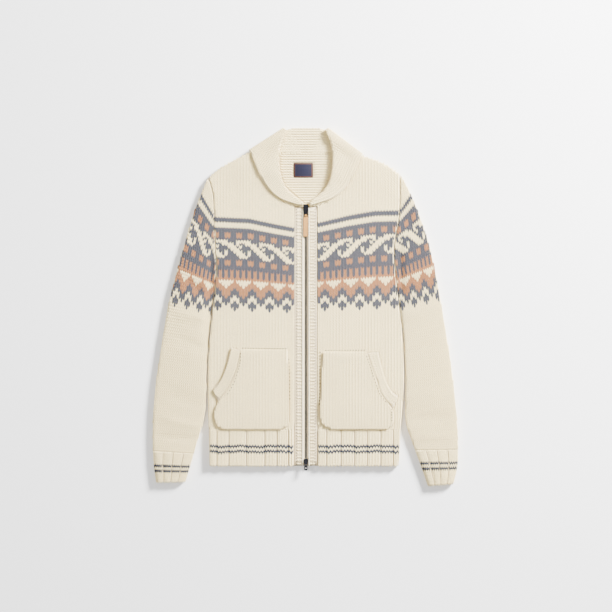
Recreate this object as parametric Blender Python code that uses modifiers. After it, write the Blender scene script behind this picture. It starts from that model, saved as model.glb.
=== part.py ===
"""Knitted zip cardigan laid flat on its back, seen from above.

+X is the viewer's right, +Y points to the collar and +Z up, away from the surface that the
back lies on. Sizes below are millimetres; the meshes are made in metres. Left and right are
the viewer's. Cloth pieces are walls round a mid surface, parted by a seam gap.
"""

import math
from collections import namedtuple

import bmesh
import bpy

MM = 0.001

# Heights of the layers
WALL = 4.0
SEAM = 0.3
BACK_MID = WALL / 2
LAYER_GAP = 2.7
FRONT_MID = WALL + LAYER_GAP + WALL / 2
CURL = (FRONT_MID - BACK_MID) / 2
SEAM_LEVEL = BACK_MID + CURL
ON_TOP = WALL + 0.8
FALL_LIFT = ON_TOP
LIFT_RAMP = 64.0
SWELL = 0.9
RIB = 1.3

# Lengthwise stations
ZIP_X = 1.0
HEM_TOP = -270.3
HEM_BOTTOM = -348.8
BAND_TOP = 219.5
BAND_INNER = 2.9
CORD_WIDTH = 5.6
BAND_OUTER = 25.5
CHAIN_HALF = 2.3
ARMPIT_Y = 39.0
SHOULDER_TIP_Y = {-1: 283.7, 1: 291.6}
TURN = CURL - 1.1
SIDE_GAP = 1.0
TURN_ANGLES = (30, 60, 90)

Point = namedtuple("Point", "x y")
Section = namedtuple("Section", "inner_x inner_y outer_x outer_y")
CollarRow = namedtuple("CollarRow", "seam_x seam_y fold_x fold_y edge_x edge_y")

# Visible side and armhole line of the body, hem to shoulder tip
BODY_EDGE = {
    -1: [
        Point(-210.5, -349), Point(-211.5, -293), Point(-213.0, -243), Point(-215.0, -170),
        Point(-213.5, -113), Point(-209.1, -58), Point(-202.5, 0), Point(-198.0, 39),
        Point(-195.0, 80), Point(-197.0, 127), Point(-200.0, 175), Point(-199.5, 215),
        Point(-202.5, 252), Point(-213.0, 283.7),
    ],
    1: [
        Point(205.0, -349), Point(208.2, -293), Point(210.6, -243), Point(217.5, -170),
        Point(216.0, -113), Point(213.5, -58), Point(206.0, 0), Point(201.5, 39),
        Point(196.5, 80), Point(193.5, 127), Point(201.0, 170), Point(207.5, 213),
        Point(208.0, 252), Point(206.9, 291.6),
    ],
}

# Visible shoulder line outside the collar, neck to shoulder tip
SHOULDER = {
    -1: [Point(-152.4, 323.7), Point(-179.6, 309.0), Point(-201.0, 294.2)],
    1: [Point(158.9, 320.9), Point(185.6, 307.5)],
}

# Visible edges of each sleeve, armhole to cuff seam, then the cuff
SLEEVE = {
    -1: [
        Section(-198.5, 31, -229.8, 248.9), Section(-199.5, 20, -247.0, 202),
        Section(-201.5, 5, -262.0, 154), Section(-204.5, -12, -276.0, 103),
        Section(-207.0, -32, -290.0, 53), Section(-210.0, -58, -303.0, 0),
        Section(-213.5, -92, -312.0, -56), Section(-216.0, -130, -321.5, -116),
        Section(-217.0, -172, -329.8, -169), Section(-217.5, -223, -334.5, -226),
        Section(-225.4, -262, -335.9, -262), Section(-235.7, -290, -336.0, -288),
        Section(-243.9, -321.8, -335.4, -315.2),
    ],
    1: [
        Section(202.0, 31, 223.0, 267), Section(203.5, 20, 244.3, 219.5),
        Section(205.5, 5, 258.5, 180), Section(208.5, -12, 270.9, 144),
        Section(211.5, -32, 281.5, 100), Section(214.5, -60, 292.5, 45),
        Section(217.0, -95, 303.5, -22), Section(219.0, -132, 314.5, -85),
        Section(220.0, -172, 324.2, -151), Section(217.5, -223, 331.4, -222),
        Section(219.5, -260, 334.6, -258), Section(232.0, -291, 336.0, -288),
        Section(240.1, -314.0, 336.2, -313.0),
    ],
}
CUFF = {
    -1: [
        Section(-244.2, -322.5, -335.4, -316.0), Section(-250.0, -343.0, -334.3, -339.5),
        Section(-256.4, -364.0, -331.8, -362.5), Section(-262.1, -383.0, -328.6, -384.5),
    ],
    1: [
        Section(240.4, -314.8, 336.2, -313.8), Section(248.5, -337.0, 335.8, -337.0),
        Section(259.3, -366.0, 333.2, -364.0), Section(268.1, -393.2, 326.0, -388.3),
    ],
}
CUFF_RIBS = 4

# Collar from its front end round to the crease at the shoulder, then on to the back's centre.
# x is measured from the zip. seam: where it is sewn on. fold: middle of the roll. edge: free edge.
COLLAR_FRONT = [
    CollarRow(7.4, 220.0, 7.8, 226.0, 8.0, 223.5),
    CollarRow(15.0, 220.3, 16.0, 232.5, 16.5, 227.5),
    CollarRow(25.5, 221.2, 26.0, 239.5, 28.5, 229.5),
    CollarRow(38.0, 224.0, 35.5, 247.0, 42.0, 231.0),
    CollarRow(50.0, 231.5, 44.5, 256.5, 56.0, 236.0),
    CollarRow(61.0, 242.0, 52.0, 268.5, 71.0, 245.5),
    CollarRow(71.0, 258.0, 57.8, 284.0, 86.0, 260.5),
    CollarRow(79.5, 277.5, 61.0, 302.0, 98.5, 280.0),
    CollarRow(86.0, 300.0, 62.3, 322.0, 107.5, 300.0),
    CollarRow(90.5, 323.0, 61.5, 343.0, 114.5, 316.0),
    CollarRow(93.0, 340.0, 56.5, 366.0, 118.5, 326.0),
]
COLLAR_CREASE = CollarRow(94.0, 351.3, 46.2, 384.4, 119.9, 332.2)
COLLAR_BACK = [
    CollarRow(84.0, 345.5, 37.0, 387.4, 100.0, 324.5),
    CollarRow(66.0, 340.0, 28.0, 388.3, 76.0, 320.0),
    CollarRow(44.0, 337.0, 18.5, 388.3, 50.0, 318.3),
    CollarRow(22.0, 336.0, 9.0, 388.3, 25.0, 317.8),
    CollarRow(0.0, 336.0, 0.0, 388.3, 0.0, 317.5),
]
CREASE_ANGLES = (0, 30, 60, 90, 120, 150, 180)
CREASE_NORMAL = Point(0.5817, 0.8135)
CREASE_LEVEL = SEAM_LEVEL + FALL_LIFT
STAND_RADIUS = CURL
FALL_REST = BACK_MID + 0.2
FALL_RADIUS = CREASE_LEVEL - FALL_REST
FALL_REACH_Y = 308.0
FALL_REACH_X = 126.0
LEAN = 4.4
LEAN_START = 50.0
LEAN_END = 125.0
NECK_NOTCH = 4.5
NECK_TUCK = 1.3
NECK_CORNER = 0.65
NECK_EASE = (1.4, 0.5, 0.0, 0.0)
PANEL_ROWS = (-270.0, -215, -160, -105, -50, 0, 33, 41, 49, 80, 112, 145, 178, 208)
BACK_TOP_ROWS = (230.0, 246, 258, 268)
SHOULDER_COLUMNS = 7
ARMHOLE_GAP = 1.0

# Grooves between the hem's ribs
HEM_GROOVES = {
    -1: (-194.4, -168.0, -129.5, -89.4, -62.4, -37.4),
    1: (46.2, 78.0, 107.5, 135.6, 165.1, 192.5),
}
RIB_PROFILE = ((0.0, 0.0), (0.16, 0.85), (0.5, 1.0), (0.84, 0.85))

# Pockets: outer line (side seam, then the mouth), bottom to top, and the zip side
PocketRow = namedtuple("PocketRow", "y outer_x inner_x")
POCKET = {
    -1: [
        PocketRow(-267.0, -180.0, -52.0), PocketRow(-262.0, -193.5, -38.0),
        PocketRow(-248.0, -200.5, -36.0), PocketRow(-224.0, -199.5, -36.6),
        PocketRow(-208.0, -190.5, -36.8), PocketRow(-190.0, -177.6, -37.0),
        PocketRow(-171.7, -166.0, -37.0), PocketRow(-152.0, -157.0, -37.0),
        PocketRow(-133.0, -150.2, -37.2), PocketRow(-114.0, -145.6, -37.5),
        PocketRow(-96.5, -142.4, -37.8),
    ],
    1: [
        PocketRow(-268.0, 178.0, 64.0), PocketRow(-263.0, 190.5, 44.0),
        PocketRow(-255.0, 193.5, 35.0), PocketRow(-238.0, 195.5, 31.0),
        PocketRow(-223.0, 191.5, 32.0), PocketRow(-205.0, 174.8, 33.0),
        PocketRow(-187.1, 165.1, 34.0), PocketRow(-166.0, 158.0, 35.0),
        PocketRow(-146.0, 151.2, 36.0), PocketRow(-122.0, 142.5, 37.0),
        PocketRow(-101.5, 134.6, 38.0),
    ],
}
# Free side of the ribbed band along the mouth, beside the pocket's last rows
POCKET_TRIM = {
    -1: [
        Point(-203.5, -181.5), Point(-192.0, -168.5), Point(-182.0, -153.5), Point(-175.5, -137.0),
        Point(-170.8, -122.0), Point(-166.5, -106.0), Point(-162.5, -89.4),
    ],
    1: [
        Point(203.5, -195.0), Point(189.5, -188.0), Point(179.5, -172.0), Point(172.6, -158.0),
        Point(168.2, -142.0), Point(164.0, -121.0), Point(160.5, -99.5),
    ],
}
TRIM_GAP = 0.9
TRIM_PROFILE = ((0.0, 0.2), (0.18, 1.0), (0.34, 0.1), (0.5, 1.0), (0.66, 0.1), (0.84, 1.0), (1.0, 0.2))

# Zip
TAPE_TOP = FRONT_MID - WALL / 2 - SEAM
TAPE_THICKNESS = 1.2
TAPE_WIDTH = 13.0
CHAIN_TOP = 9.4
CHAIN_TOP_Y = 203.0
PLATE_BOTTOM = 11.7
PLATE_THICKNESS = 1.5
NECK_HALF = 1.9
LINK_THICKNESS = 1.4
BAR_WIDTH = 1.7
RUN = 1.3
PULL_ANGLE_Y = {"zip": 208.2, "hem": -340.6}
LABEL = Point(43.0, 33.0)
LABEL_CENTRE = Point(-4.6, 299.7)


def smooth(t):
    """Smooth step of t between 0 and 1."""
    t = max(0.0, min(1.0, t))
    return t * t * (3 - 2 * t)


def lift(x, y):
    """How far the collar's back fall, lying underneath, raises the body at x, y."""
    away = math.hypot(max(0.0, FALL_REACH_Y - y), max(0.0, abs(x - ZIP_X) - FALL_REACH_X))
    return FALL_LIFT * smooth(1 - away / LIFT_RAMP)


def swell(x, y):
    """Slight fullness of the upper layer away from its seams."""
    across = smooth((abs(x - ZIP_X) - BAND_OUTER) / 45) * smooth((195 - abs(x - ZIP_X)) / 45)
    return SWELL * across * smooth((y - HEM_TOP) / 50) * smooth((215 - y) / 50)


def front_mid(x, y):
    return FRONT_MID + lift(x, y) + swell(x, y)


def back_mid(x, y):
    return BACK_MID + lift(x, y)


def reading(points, y):
    """x of a line of points at height y, by a cubic through its neighbours."""
    last = len(points) - 1
    i = max(0, min(last - 1, sum(p.y <= y for p in points) - 1))
    a, b = points[i], points[i + 1]
    before, after = points[max(0, i - 1)], points[min(last, i + 2)]
    span = b.y - a.y
    t = max(0.0, min(1.0, (y - a.y) / span))
    start = (b.x - before.x) / (b.y - before.y) * span
    end = (after.x - a.x) / (after.y - a.y) * span
    return (
        (2 * t**3 - 3 * t**2 + 1) * a.x + (t**3 - 2 * t**2 + t) * start
        + (3 * t**2 - 2 * t**3) * b.x + (t**3 - t**2) * end
    )


def lean(side, x, y):
    """World point of a collar or neck point; the garment lies with its left shoulder higher."""
    shift = -side * LEAN * smooth((x - LEAN_START) / (LEAN_END - LEAN_START))
    return (ZIP_X + side * x, y + shift)


def material_for(name, colour, roughness, metallic=0.0):
    """Plain material with the piece's colour."""
    material = bpy.data.materials.get(name) or bpy.data.materials.new(name)
    material.use_nodes = True
    shader = material.node_tree.nodes["Principled BSDF"]
    shader.inputs["Base Color"].default_value = (*colour, 1.0)
    shader.inputs["Roughness"].default_value = roughness
    shader.inputs["Metallic"].default_value = metallic
    return material


def finish_mesh(name, mesh, look):
    """Object of this mesh in the cardigan's collection."""
    part = bpy.data.objects.new(name, mesh)
    bpy.data.collections["cardigan"].objects.link(part)
    part.data.materials.append(material_for(*look))
    return part


def sheet_mesh(name, rows, ring=False):
    """Open surface through rows of points in millimetres; ring closes each row on itself."""
    bm = bmesh.new()
    grid = [[bm.verts.new([c * MM for c in p]) for p in row] for row in rows]
    for low, high in zip(grid, grid[1:]):
        count = len(low)
        for j in range(count if ring else count - 1):
            k = (j + 1) % count
            bm.faces.new((low[j], low[k], high[k], high[j]))
    mesh = bpy.data.meshes.new(name)
    bm.to_mesh(mesh)
    bm.free()
    return mesh


def shell(name, rows, look, ring=False, thickness=WALL):
    """Cloth wall round a mid surface."""
    part = finish_mesh(name, sheet_mesh(name, rows, ring), look)
    solidify = part.modifiers.new("wall", "SOLIDIFY")
    solidify.thickness = thickness * MM
    solidify.offset = 0
    solidify.use_even_offset = True
    return part


def wall(name, outer, inner, look, ring=False):
    """Closed wall between an outer and an inner grid of points of the same layout."""
    bm = bmesh.new()
    grids = [[[bm.verts.new([c * MM for c in p]) for p in row] for row in g] for g in (outer, inner)]
    for grid, turn in zip(grids, (1, -1)):
        for low, high in zip(grid, grid[1:]):
            count = len(low)
            for j in range(count if ring else count - 1):
                k = (j + 1) % count
                bm.faces.new((low[j], low[k], high[k], high[j])[::turn])
    top, under = grids
    for end in (0, -1):
        count = len(top[end])
        for j in range(count if ring else count - 1):
            k = (j + 1) % count
            bm.faces.new((top[end][j], top[end][k], under[end][k], under[end][j]))
    if not ring:
        for side in (0, -1):
            for i in range(len(top) - 1):
                bm.faces.new((top[i][side], top[i + 1][side], under[i + 1][side], under[i][side]))
    bmesh.ops.recalc_face_normals(bm, faces=bm.faces)
    mesh = bpy.data.meshes.new(name)
    bm.to_mesh(mesh)
    bm.free()
    return finish_mesh(name, mesh, look)


KNIT = ("cream_knit", (0.80, 0.75, 0.66), 0.95)
RIBBED = ("cream_rib", (0.79, 0.74, 0.65), 0.95)
TAPE = ("zip_tape", (0.60, 0.56, 0.48), 0.9)
METAL = ("gunmetal", (0.06, 0.06, 0.065), 0.35, 0.9)
TEETH = ("zip_teeth", (0.16, 0.15, 0.13), 0.4, 0.8)
LEATHER = ("leather", (0.66, 0.47, 0.33), 0.6)
LABEL_CLOTH = ("label_cloth", (0.03, 0.03, 0.06), 0.8)


TURN_STEPS = [
    (TURN * math.sin(math.radians(a)), TURN * (1 - math.cos(math.radians(a)))) for a in TURN_ANGLES
] + [(TURN, CURL - SIDE_GAP / 2)]


def curl_of(y):
    """1 where the side is closed, 0 along the open armhole."""
    return 1 - smooth((y - ARMPIT_Y + 6) / 16)


def side_base(side, y):
    """Where the wall begins to turn down to the side seam."""
    edge = reading(BODY_EDGE[side], y)
    inset = TURN + SEAM + curl_of(y) * (WALL / 2 - SEAM)
    return edge - side * inset


def shoulder_points(side):
    """Base line of the shoulder's turn, from the neck to the shoulder tip."""
    along = Point(CREASE_NORMAL.y, -CREASE_NORMAL.x)
    tuck = Point(NECK_TUCK * CREASE_NORMAL.x, NECK_TUCK * CREASE_NORMAL.y)
    start = lean(side, COLLAR_CREASE.seam_x + NECK_NOTCH * along.x - tuck.x,
                 COLLAR_CREASE.seam_y + NECK_NOTCH * along.y - tuck.y)
    middle = lean(side, COLLAR_CREASE.edge_x - tuck.x, COLLAR_CREASE.edge_y - tuck.y)
    inset = TURN + WALL / 2
    rest = [(p.x - side * inset * 0.5, p.y - inset * 0.85) for p in SHOULDER[side]]
    tip_y = SHOULDER_TIP_Y[side] - inset
    return [start, middle, *rest, (side_base(side, tip_y), tip_y)]


def resample(points, count):
    """Evenly spaced points along a line."""
    lengths = [0.0]
    for a, b in zip(points, points[1:]):
        lengths.append(lengths[-1] + math.dist(a, b))
    found = []
    for i in range(count):
        want = lengths[-1] * i / (count - 1)
        k = max(0, min(len(points) - 2, sum(v <= want for v in lengths) - 1))
        t = (want - lengths[k]) / (lengths[k + 1] - lengths[k])
        found.append(tuple(a + (b - a) * t for a, b in zip(points[k], points[k + 1])))
    return found


def blend_grid(left, right, bottom, top):
    """Plan grid filling four border lines, each a list of (x, y)."""
    rows, columns = len(left), len(bottom)
    grid = []
    for i in range(rows):
        v = i / (rows - 1)
        row = []
        for j in range(columns):
            u = j / (columns - 1)
            row.append(tuple(
                (1 - u) * left[i][c] + u * right[i][c] + (1 - v) * bottom[j][c] + v * top[j][c]
                - (1 - u) * (1 - v) * left[0][c] - u * (1 - v) * right[0][c]
                - (1 - u) * v * left[-1][c] - u * v * right[-1][c]
                for c in (0, 1)
            ))
        grid.append(row)
    return grid


def side_turn(side, row, y_of_row, mid, outwards):
    """Adds to a row of plan points the ones that turn to the side seam."""
    points = [(x, y, mid(x, y)) for x, y in row]
    x, y, z = points[0]
    closed = curl_of(y_of_row)
    for i, (reach, drop) in enumerate(TURN_STEPS):
        across = closed * reach + (1 - closed) * TURN * (i + 1) / len(TURN_STEPS)
        points.insert(0, (x + side * across, y, z - outwards * closed * drop))
    return points


def build_front(side):
    """One front panel, from the hem's seam up to the shoulder and the neck."""
    shoulder = shoulder_points(side)
    neck = [(lean(side, r.seam_x + SEAM, r.seam_y - SEAM)) for r in COLLAR_FRONT[3:]]
    zip_line = ZIP_X + side * (BAND_OUTER + SEAM)
    lower = [*PANEL_ROWS, COLLAR_FRONT[2].seam_y - SEAM]
    inner = [(zip_line, y) for y in lower] + neck + [shoulder[0]]
    tip_y = shoulder[-1][1]
    steps = [(p[1] - lower[0]) / (inner[-1][1] - lower[0]) for p in inner]
    outer_y = [lower[0] + s * (tip_y - lower[0]) for s in steps]
    for i, y in enumerate(lower):
        outer_y[i] = y + (outer_y[i] - y) * smooth((y - 40) / 180)
    outer = [(side_base(side, y), y) for y in outer_y]
    bottom = resample([outer[0], inner[0]], SHOULDER_COLUMNS)
    top = resample(shoulder[::-1], SHOULDER_COLUMNS)
    grid = blend_grid(outer, inner, bottom, top)
    rows = [side_turn(side, row, row[0][1], front_mid, 1) for row in grid]
    rows += shoulder_turn(side, rows[-1])
    shell("front_left" if side < 0 else "front_right", rows, KNIT)


def turned(side, point, reach, drop):
    """A point of the shoulder's base line, carried out towards the seam."""
    x, y, z = point
    a, b = BODY_EDGE[side][-2:]
    size = math.dist(a, b)
    share = smooth((abs(b.x) - abs(x)) / 40)
    along_x = (1 - share) * side * (b.x - a.x) / size + share * CREASE_NORMAL.x
    along_y = (1 - share) * (b.y - a.y) / size + share * CREASE_NORMAL.y
    return (x + side * reach * along_x, y + reach * along_y, z - drop)


def shoulder_turn(side, row):
    """Rows that carry a panel round to the shoulder seam."""
    return [[turned(side, p, reach, drop) for p in row] for reach, drop in TURN_STEPS]


def build_back():
    """Back panel with both shoulders and the back neck."""
    bottom_y = PANEL_ROWS[0]
    sides = {}
    for side in (-1, 1):
        tip = shoulder_points(side)[-1]
        ys = [*PANEL_ROWS, *BACK_TOP_ROWS, tip[1]]
        sides[side] = [(side_base(side, y), y) for y in ys]
    shoulder = {side: resample(shoulder_points(side)[::-1], SHOULDER_COLUMNS) for side in (-1, 1)}
    neck_half = [(r.seam_x, r.seam_y - SEAM - TURN - ease) for r, ease in zip(COLLAR_BACK, NECK_EASE)]
    neck = [lean(-1, x, y) for x, y in neck_half]
    neck += [(ZIP_X, COLLAR_BACK[-1].seam_y - SEAM - TURN)]
    neck += [lean(1, x, y) for x, y in neck_half[::-1]]
    top = shoulder[-1] + neck + shoulder[1][::-1]
    span = sides[1][0][0] - sides[-1][0][0]
    bottom = [
        (sides[-1][0][0] + span * (p[0] - top[0][0]) / (top[-1][0] - top[0][0]), bottom_y) for p in top
    ]
    grid = []
    for left, right in zip(sides[-1], sides[1]):
        v = (left[1] - bottom_y) / (sides[-1][-1][1] - bottom_y)
        row = []
        for low, high in zip(bottom, top):
            u = (low[0] - bottom[0][0]) / span
            straight_x = left[0] + u * (right[0] - left[0])
            straight_y = left[1] + u * (right[1] - left[1])
            bend_x = high[0] - top[0][0] - u * (top[-1][0] - top[0][0])
            bend_y = high[1] - top[0][1] - u * (top[-1][1] - top[0][1])
            row.append((straight_x + v**3 * bend_x, straight_y + v**3 * bend_y))
        grid.append(row)
    rows = []
    for row in grid:
        points = side_turn(-1, row, row[0][1], back_mid, -1)
        mirrored = side_turn(1, row[::-1], row[-1][1], back_mid, -1)[::-1]
        rows.append(points + mirrored[len(row):])
    first_neck = len(TURN_STEPS) + SHOULDER_COLUMNS
    last_neck = first_neck + len(neck) - 1
    base = rows[-1]
    for i, (reach, rise) in enumerate(TURN_STEPS):
        row = []
        for j, (x, y, z) in enumerate(base):
            if first_neck <= j <= last_neck:
                row.append((x, y + TURN * (i + 1) / len(TURN_STEPS), z))
            else:
                ease = NECK_CORNER if j in (first_neck - 1, last_neck + 1) else 1.0
                row.append(turned(-1 if j < first_neck else 1, (x, y, z), reach, -rise * ease))
        rows.append(row)
    shell("back", rows, KNIT)


def build_hem():
    """Bottom band: two ribbed fronts and one plain back that rests on the surface."""
    ys = [HEM_TOP - i * (HEM_TOP - HEM_BOTTOM) / 4 for i in range(5)]
    for side in (-1, 1):
        grooves = sorted(HEM_GROOVES[side], key=abs, reverse=True)
        end = ZIP_X + side * (BAND_OUTER + SEAM)
        outer, inner = [], []
        for y in ys:
            base = side_base(side, y)
            columns = [(base, 0.9)]
            stops = grooves + [end]
            columns.append(((base + grooves[0]) / 2, 1.0))
            for a, b in zip(stops, stops[1:]):
                columns += [(a + (b - a) * t, h) for t, h in RIB_PROFILE]
            columns.append((end, 0.6))
            top, under = [], []
            for reach, drop in TURN_STEPS[::-1]:
                share = reach / TURN
                fall = drop / CURL
                top.append((
                    base + side * share * (TURN + WALL / 2), y,
                    FRONT_MID + (WALL / 2 + 0.9 * RIB) * (1 - fall) - drop,
                ))
                under_z = FRONT_MID - WALL / 2 * (1 - fall) - drop
                under.append((base + side * share * (TURN - WALL / 2), y, under_z))
            for x, h in columns:
                z = front_mid(x, HEM_TOP)
                top.append((x, y, z + WALL / 2 + RIB * h))
                under.append((x, y, z - WALL / 2))
            outer.append(top)
            inner.append(under)
        wall("hem_front_left" if side < 0 else "hem_front_right", outer, inner, RIBBED)
    rows = []
    for y in ys:
        left, right = side_base(-1, y), side_base(1, y)
        plan = [(left + (right - left) * i / 8, y) for i in range(9)]
        points = side_turn(-1, plan, y, back_mid, -1)
        other = side_turn(1, plan[::-1], y, back_mid, -1)[::-1]
        rows.append(points + other[len(plan):])
    shell("hem_back", rows, RIBBED)


def normal_at(points, i, side):
    """Unit normal of a sleeve edge at point i, towards +x * side."""
    a, b = points[max(0, i - 1)], points[min(len(points) - 1, i + 1)]
    dx, dy = b[0] - a[0], b[1] - a[1]
    size = math.hypot(dx, dy)
    nx, ny = dy / size, -dx / size
    return (nx, ny) if nx * side > 0 else (-nx, -ny)


def ring(inner, outer, inner_normal, outer_normal, offset, rise, columns, bow=None):
    """Closed flattened section of a sleeve; offset moves it out from the mid surface."""
    inset = WALL / 2 - offset
    ix, iy = inner[0] + inner_normal[0] * inset, inner[1] + inner_normal[1] * inset
    ox, oy = outer[0] + outer_normal[0] * inset, outer[1] + outer_normal[1] * inset
    length = math.hypot(ox - ix, oy - iy)
    ex, ey = (ox - ix) / length, (oy - iy) / length
    radius = CURL + offset
    turn_in = radius / max(0.35, ex * inner_normal[0] + ey * inner_normal[1])
    turn_out = radius / max(0.35, -ex * outer_normal[0] - ey * outer_normal[1])
    along = []
    for angle in (180, 135, 90, 45, 0):
        a = math.radians(angle)
        along.append((turn_in * (1 - math.sin(a)), radius * math.cos(a)))
    run = length - turn_in - turn_out
    for t, height in columns:
        swollen = rise * math.sin(math.pi * t) + height
        along.append((turn_in + run * t, radius + swollen))
    for angle in (0, 45, 90, 135, 180):
        a = math.radians(angle)
        along.append((length - turn_out * (1 - math.sin(a)), radius * math.cos(a)))
    for i in range(7, 0, -1):
        along.append((turn_in + run * i / 8, -radius))
    points = []
    for s, z in along:
        x, y = ix + ex * s, iy + ey * s
        if bow:
            x += bow(s / length)
        points.append((x, y, SEAM_LEVEL + z))
    return points


def build_sleeve(side):
    """Sleeve tube and its ribbed cuff."""
    name = "left" if side < 0 else "right"
    armpit = (reading(BODY_EDGE[side], ARMPIT_Y) + side * ARMHOLE_GAP, ARMPIT_Y)
    tip = (reading(BODY_EDGE[side], SHOULDER_TIP_Y[side]) + side * ARMHOLE_GAP, SHOULDER_TIP_Y[side])
    inner = [armpit] + [
        (side * max(side * s.inner_x, side * reading(BODY_EDGE[side], s.inner_y) + 1.2), s.inner_y)
        for s in SLEEVE[side]
    ]
    outer = [tip] + [(s.outer_x, s.outer_y) for s in SLEEVE[side]]
    columns = [(i / 9, 0.0) for i in range(1, 9)]

    def bow_of(weight):
        def bow(t):
            y = armpit[1] + t * (tip[1] - armpit[1])
            chord = armpit[0] + t * (tip[0] - armpit[0])
            return weight * (reading(BODY_EDGE[side], y) + side * ARMHOLE_GAP - chord)
        return bow

    outside, inside = [], []
    weights = {0: 1.0, 1: 0.6, 2: 0.3, 3: 0.12}
    for i, (a, b) in enumerate(zip(inner, outer)):
        n_in = normal_at(inner, i, side)
        n_out = normal_at(outer, i, -side)
        if i == 0:
            n_in, n_out = (0.0, 1.0), (0.0, -1.0)
        rise = 1.1 * smooth(i / 3)
        bow = bow_of(weights[i]) if i in weights else None
        outside.append(ring(a, b, n_in, n_out, WALL / 2, rise, columns, bow))
        inside.append(ring(a, b, n_in, n_out, -WALL / 2, rise, columns, bow))
    wall(f"sleeve_{name}", outside, inside, KNIT, ring=True)

    inner = [(s.inner_x, s.inner_y) for s in CUFF[side]]
    outer = [(s.outer_x, s.outer_y) for s in CUFF[side]]
    columns = []
    for k in range(CUFF_RIBS):
        columns += [((k + t) / CUFF_RIBS, RIB * h) for t, h in RIB_PROFILE if k + t > 0]
    plain = [(t, 0.0) for t, h in columns]
    outside, inside = [], []
    for i, (a, b) in enumerate(zip(inner, outer)):
        n_in, n_out = normal_at(inner, i, side), normal_at(outer, i, -side)
        outside.append(ring(a, b, n_in, n_out, WALL / 2, 0.8, columns))
        inside.append(ring(a, b, n_in, n_out, -WALL / 2, 0.8, plain))
    wall(f"cuff_{name}", outside, inside, RIBBED, ring=True)


def collar_section(row, side, angle=None, back=False):
    """Points across the collar, seam to roll to free edge, at one place along it."""
    seam, fold, edge = (
        lean(side, row.seam_x, row.seam_y), lean(side, row.fold_x, row.fold_y), lean(side, row.edge_x, row.edge_y)
    )
    reach = math.dist(seam, fold)
    ahead = ((fold[0] - seam[0]) / reach, (fold[1] - seam[1]) / reach, 0.0)

    def at(plan, layer):
        x, y = plan
        if angle is None:
            if back:
                return (x, y, back_mid(x, y) if layer == "stand" else FALL_REST)
            return (x, y, FRONT_MID + lift(x, y) + (0.0 if layer == "stand" else ON_TOP))
        radius = STAND_RADIUS if layer == "stand" else FALL_RADIUS
        a = math.radians(angle)
        out = radius * math.sin(a)
        z = CREASE_LEVEL + radius * math.cos(a)
        return (x + side * out * CREASE_NORMAL.x, y + out * CREASE_NORMAL.y, z)

    def between(a, b, t):
        return tuple(p + (q - p) * t for p, q in zip(a, b))

    points = [at(between(seam, fold, t), "stand") for t in (0.0, 0.34, 0.67, 1.0)]
    low, high = points[-1], at(fold, "fall")
    middle = between(low, high, 0.5)
    across = tuple((q - p) / 2 for p, q in zip(low, high))
    size = math.sqrt(sum(c * c for c in across))
    for turn in (45, 90, 135):
        b = math.radians(turn)
        points.append(tuple(
            m - math.cos(b) * w + math.sin(b) * size * d for m, w, d in zip(middle, across, ahead)
        ))
    points += [at(between(fold, edge, t), "fall") for t in (0.0, 0.25, 0.5, 0.75, 1.0)]
    return points


def build_collar():
    """Roll collar as one folded wall round the neck."""
    halves = {}
    for side in (-1, 1):
        half = [collar_section(row, side) for row in COLLAR_FRONT]
        half += [collar_section(COLLAR_CREASE, side, angle) for angle in CREASE_ANGLES]
        half += [collar_section(row, side, back=True) for row in COLLAR_BACK]
        halves[side] = half
    shell("collar", halves[-1] + halves[1][-2::-1], KNIT)


def build_placket(side):
    """Sideways-knitted band with the rolled cord edge beside the zip."""
    profile = [
        (BAND_INNER, 9.6), (BAND_INNER + 0.9, 10.9), (BAND_INNER + 2.8, 11.3), (BAND_INNER + 4.7, 10.9),
        (BAND_INNER + CORD_WIDTH, 9.7), (BAND_INNER + CORD_WIDTH + 1.1, 10.8), (17.0, 11.1),
        (BAND_OUTER - 1.3, 10.8), (BAND_OUTER, 10.4),
    ]
    outer, inner = [], []
    under = FRONT_MID - WALL / 2
    for i in range(7):
        t = i / 6
        top, low = [], []
        for x, z in profile:
            end = BAND_TOP + 0.06 * max(0.0, x - 7.4)
            y = HEM_BOTTOM + (end - HEM_BOTTOM) * t
            top.append((ZIP_X + side * x, y, z))
            low.append((ZIP_X + side * x, y, under))
        outer.append(top)
        inner.append(low)
    wall("placket_left" if side < 0 else "placket_right", outer, inner, RIBBED)


def build_pocket(side):
    """Patch pocket on the front's own surface, and the ribbed band of its mouth."""
    name = "left" if side < 0 else "right"
    columns = 9
    rows = []
    for i, row in enumerate(POCKET[side]):
        v = i / (len(POCKET[side]) - 1)
        points = []
        for j in range(columns):
            u = j / (columns - 1)
            x = row.outer_x + (row.inner_x - row.outer_x) * u
            y = row.y + (1.6 * math.sin(math.pi * u) if i else 0.0)
            full = 1.6 * math.sin(math.pi * u) * math.sin(math.pi * v)
            z = front_mid(x, y) + ON_TOP + full
            points.append((x, y, z))
        rows.append(points)
    shell(f"pocket_{name}", rows, KNIT)
    outer, inner = [], []
    mouth = [(r.outer_x, r.y) for r in POCKET[side][-len(POCKET_TRIM[side]):]]
    for i, far in enumerate(POCKET_TRIM[side]):
        out = normal_at(mouth, i, side)
        near = (mouth[i][0] + out[0] * TRIM_GAP, mouth[i][1] + out[1] * TRIM_GAP)
        top, low = [], []
        for t, h in TRIM_PROFILE:
            x = near[0] + (far.x - near[0]) * t
            y = near[1] + (far.y - near[1]) * t
            z = front_mid(x, y) + ON_TOP - WALL / 2
            top.append((x, y, z + WALL * 0.85 + RIB * h * 0.8))
            low.append((x, y, z))
        outer.append(top)
        inner.append(low)
    wall(f"pocket_trim_{name}", outer, inner, RIBBED)


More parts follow.
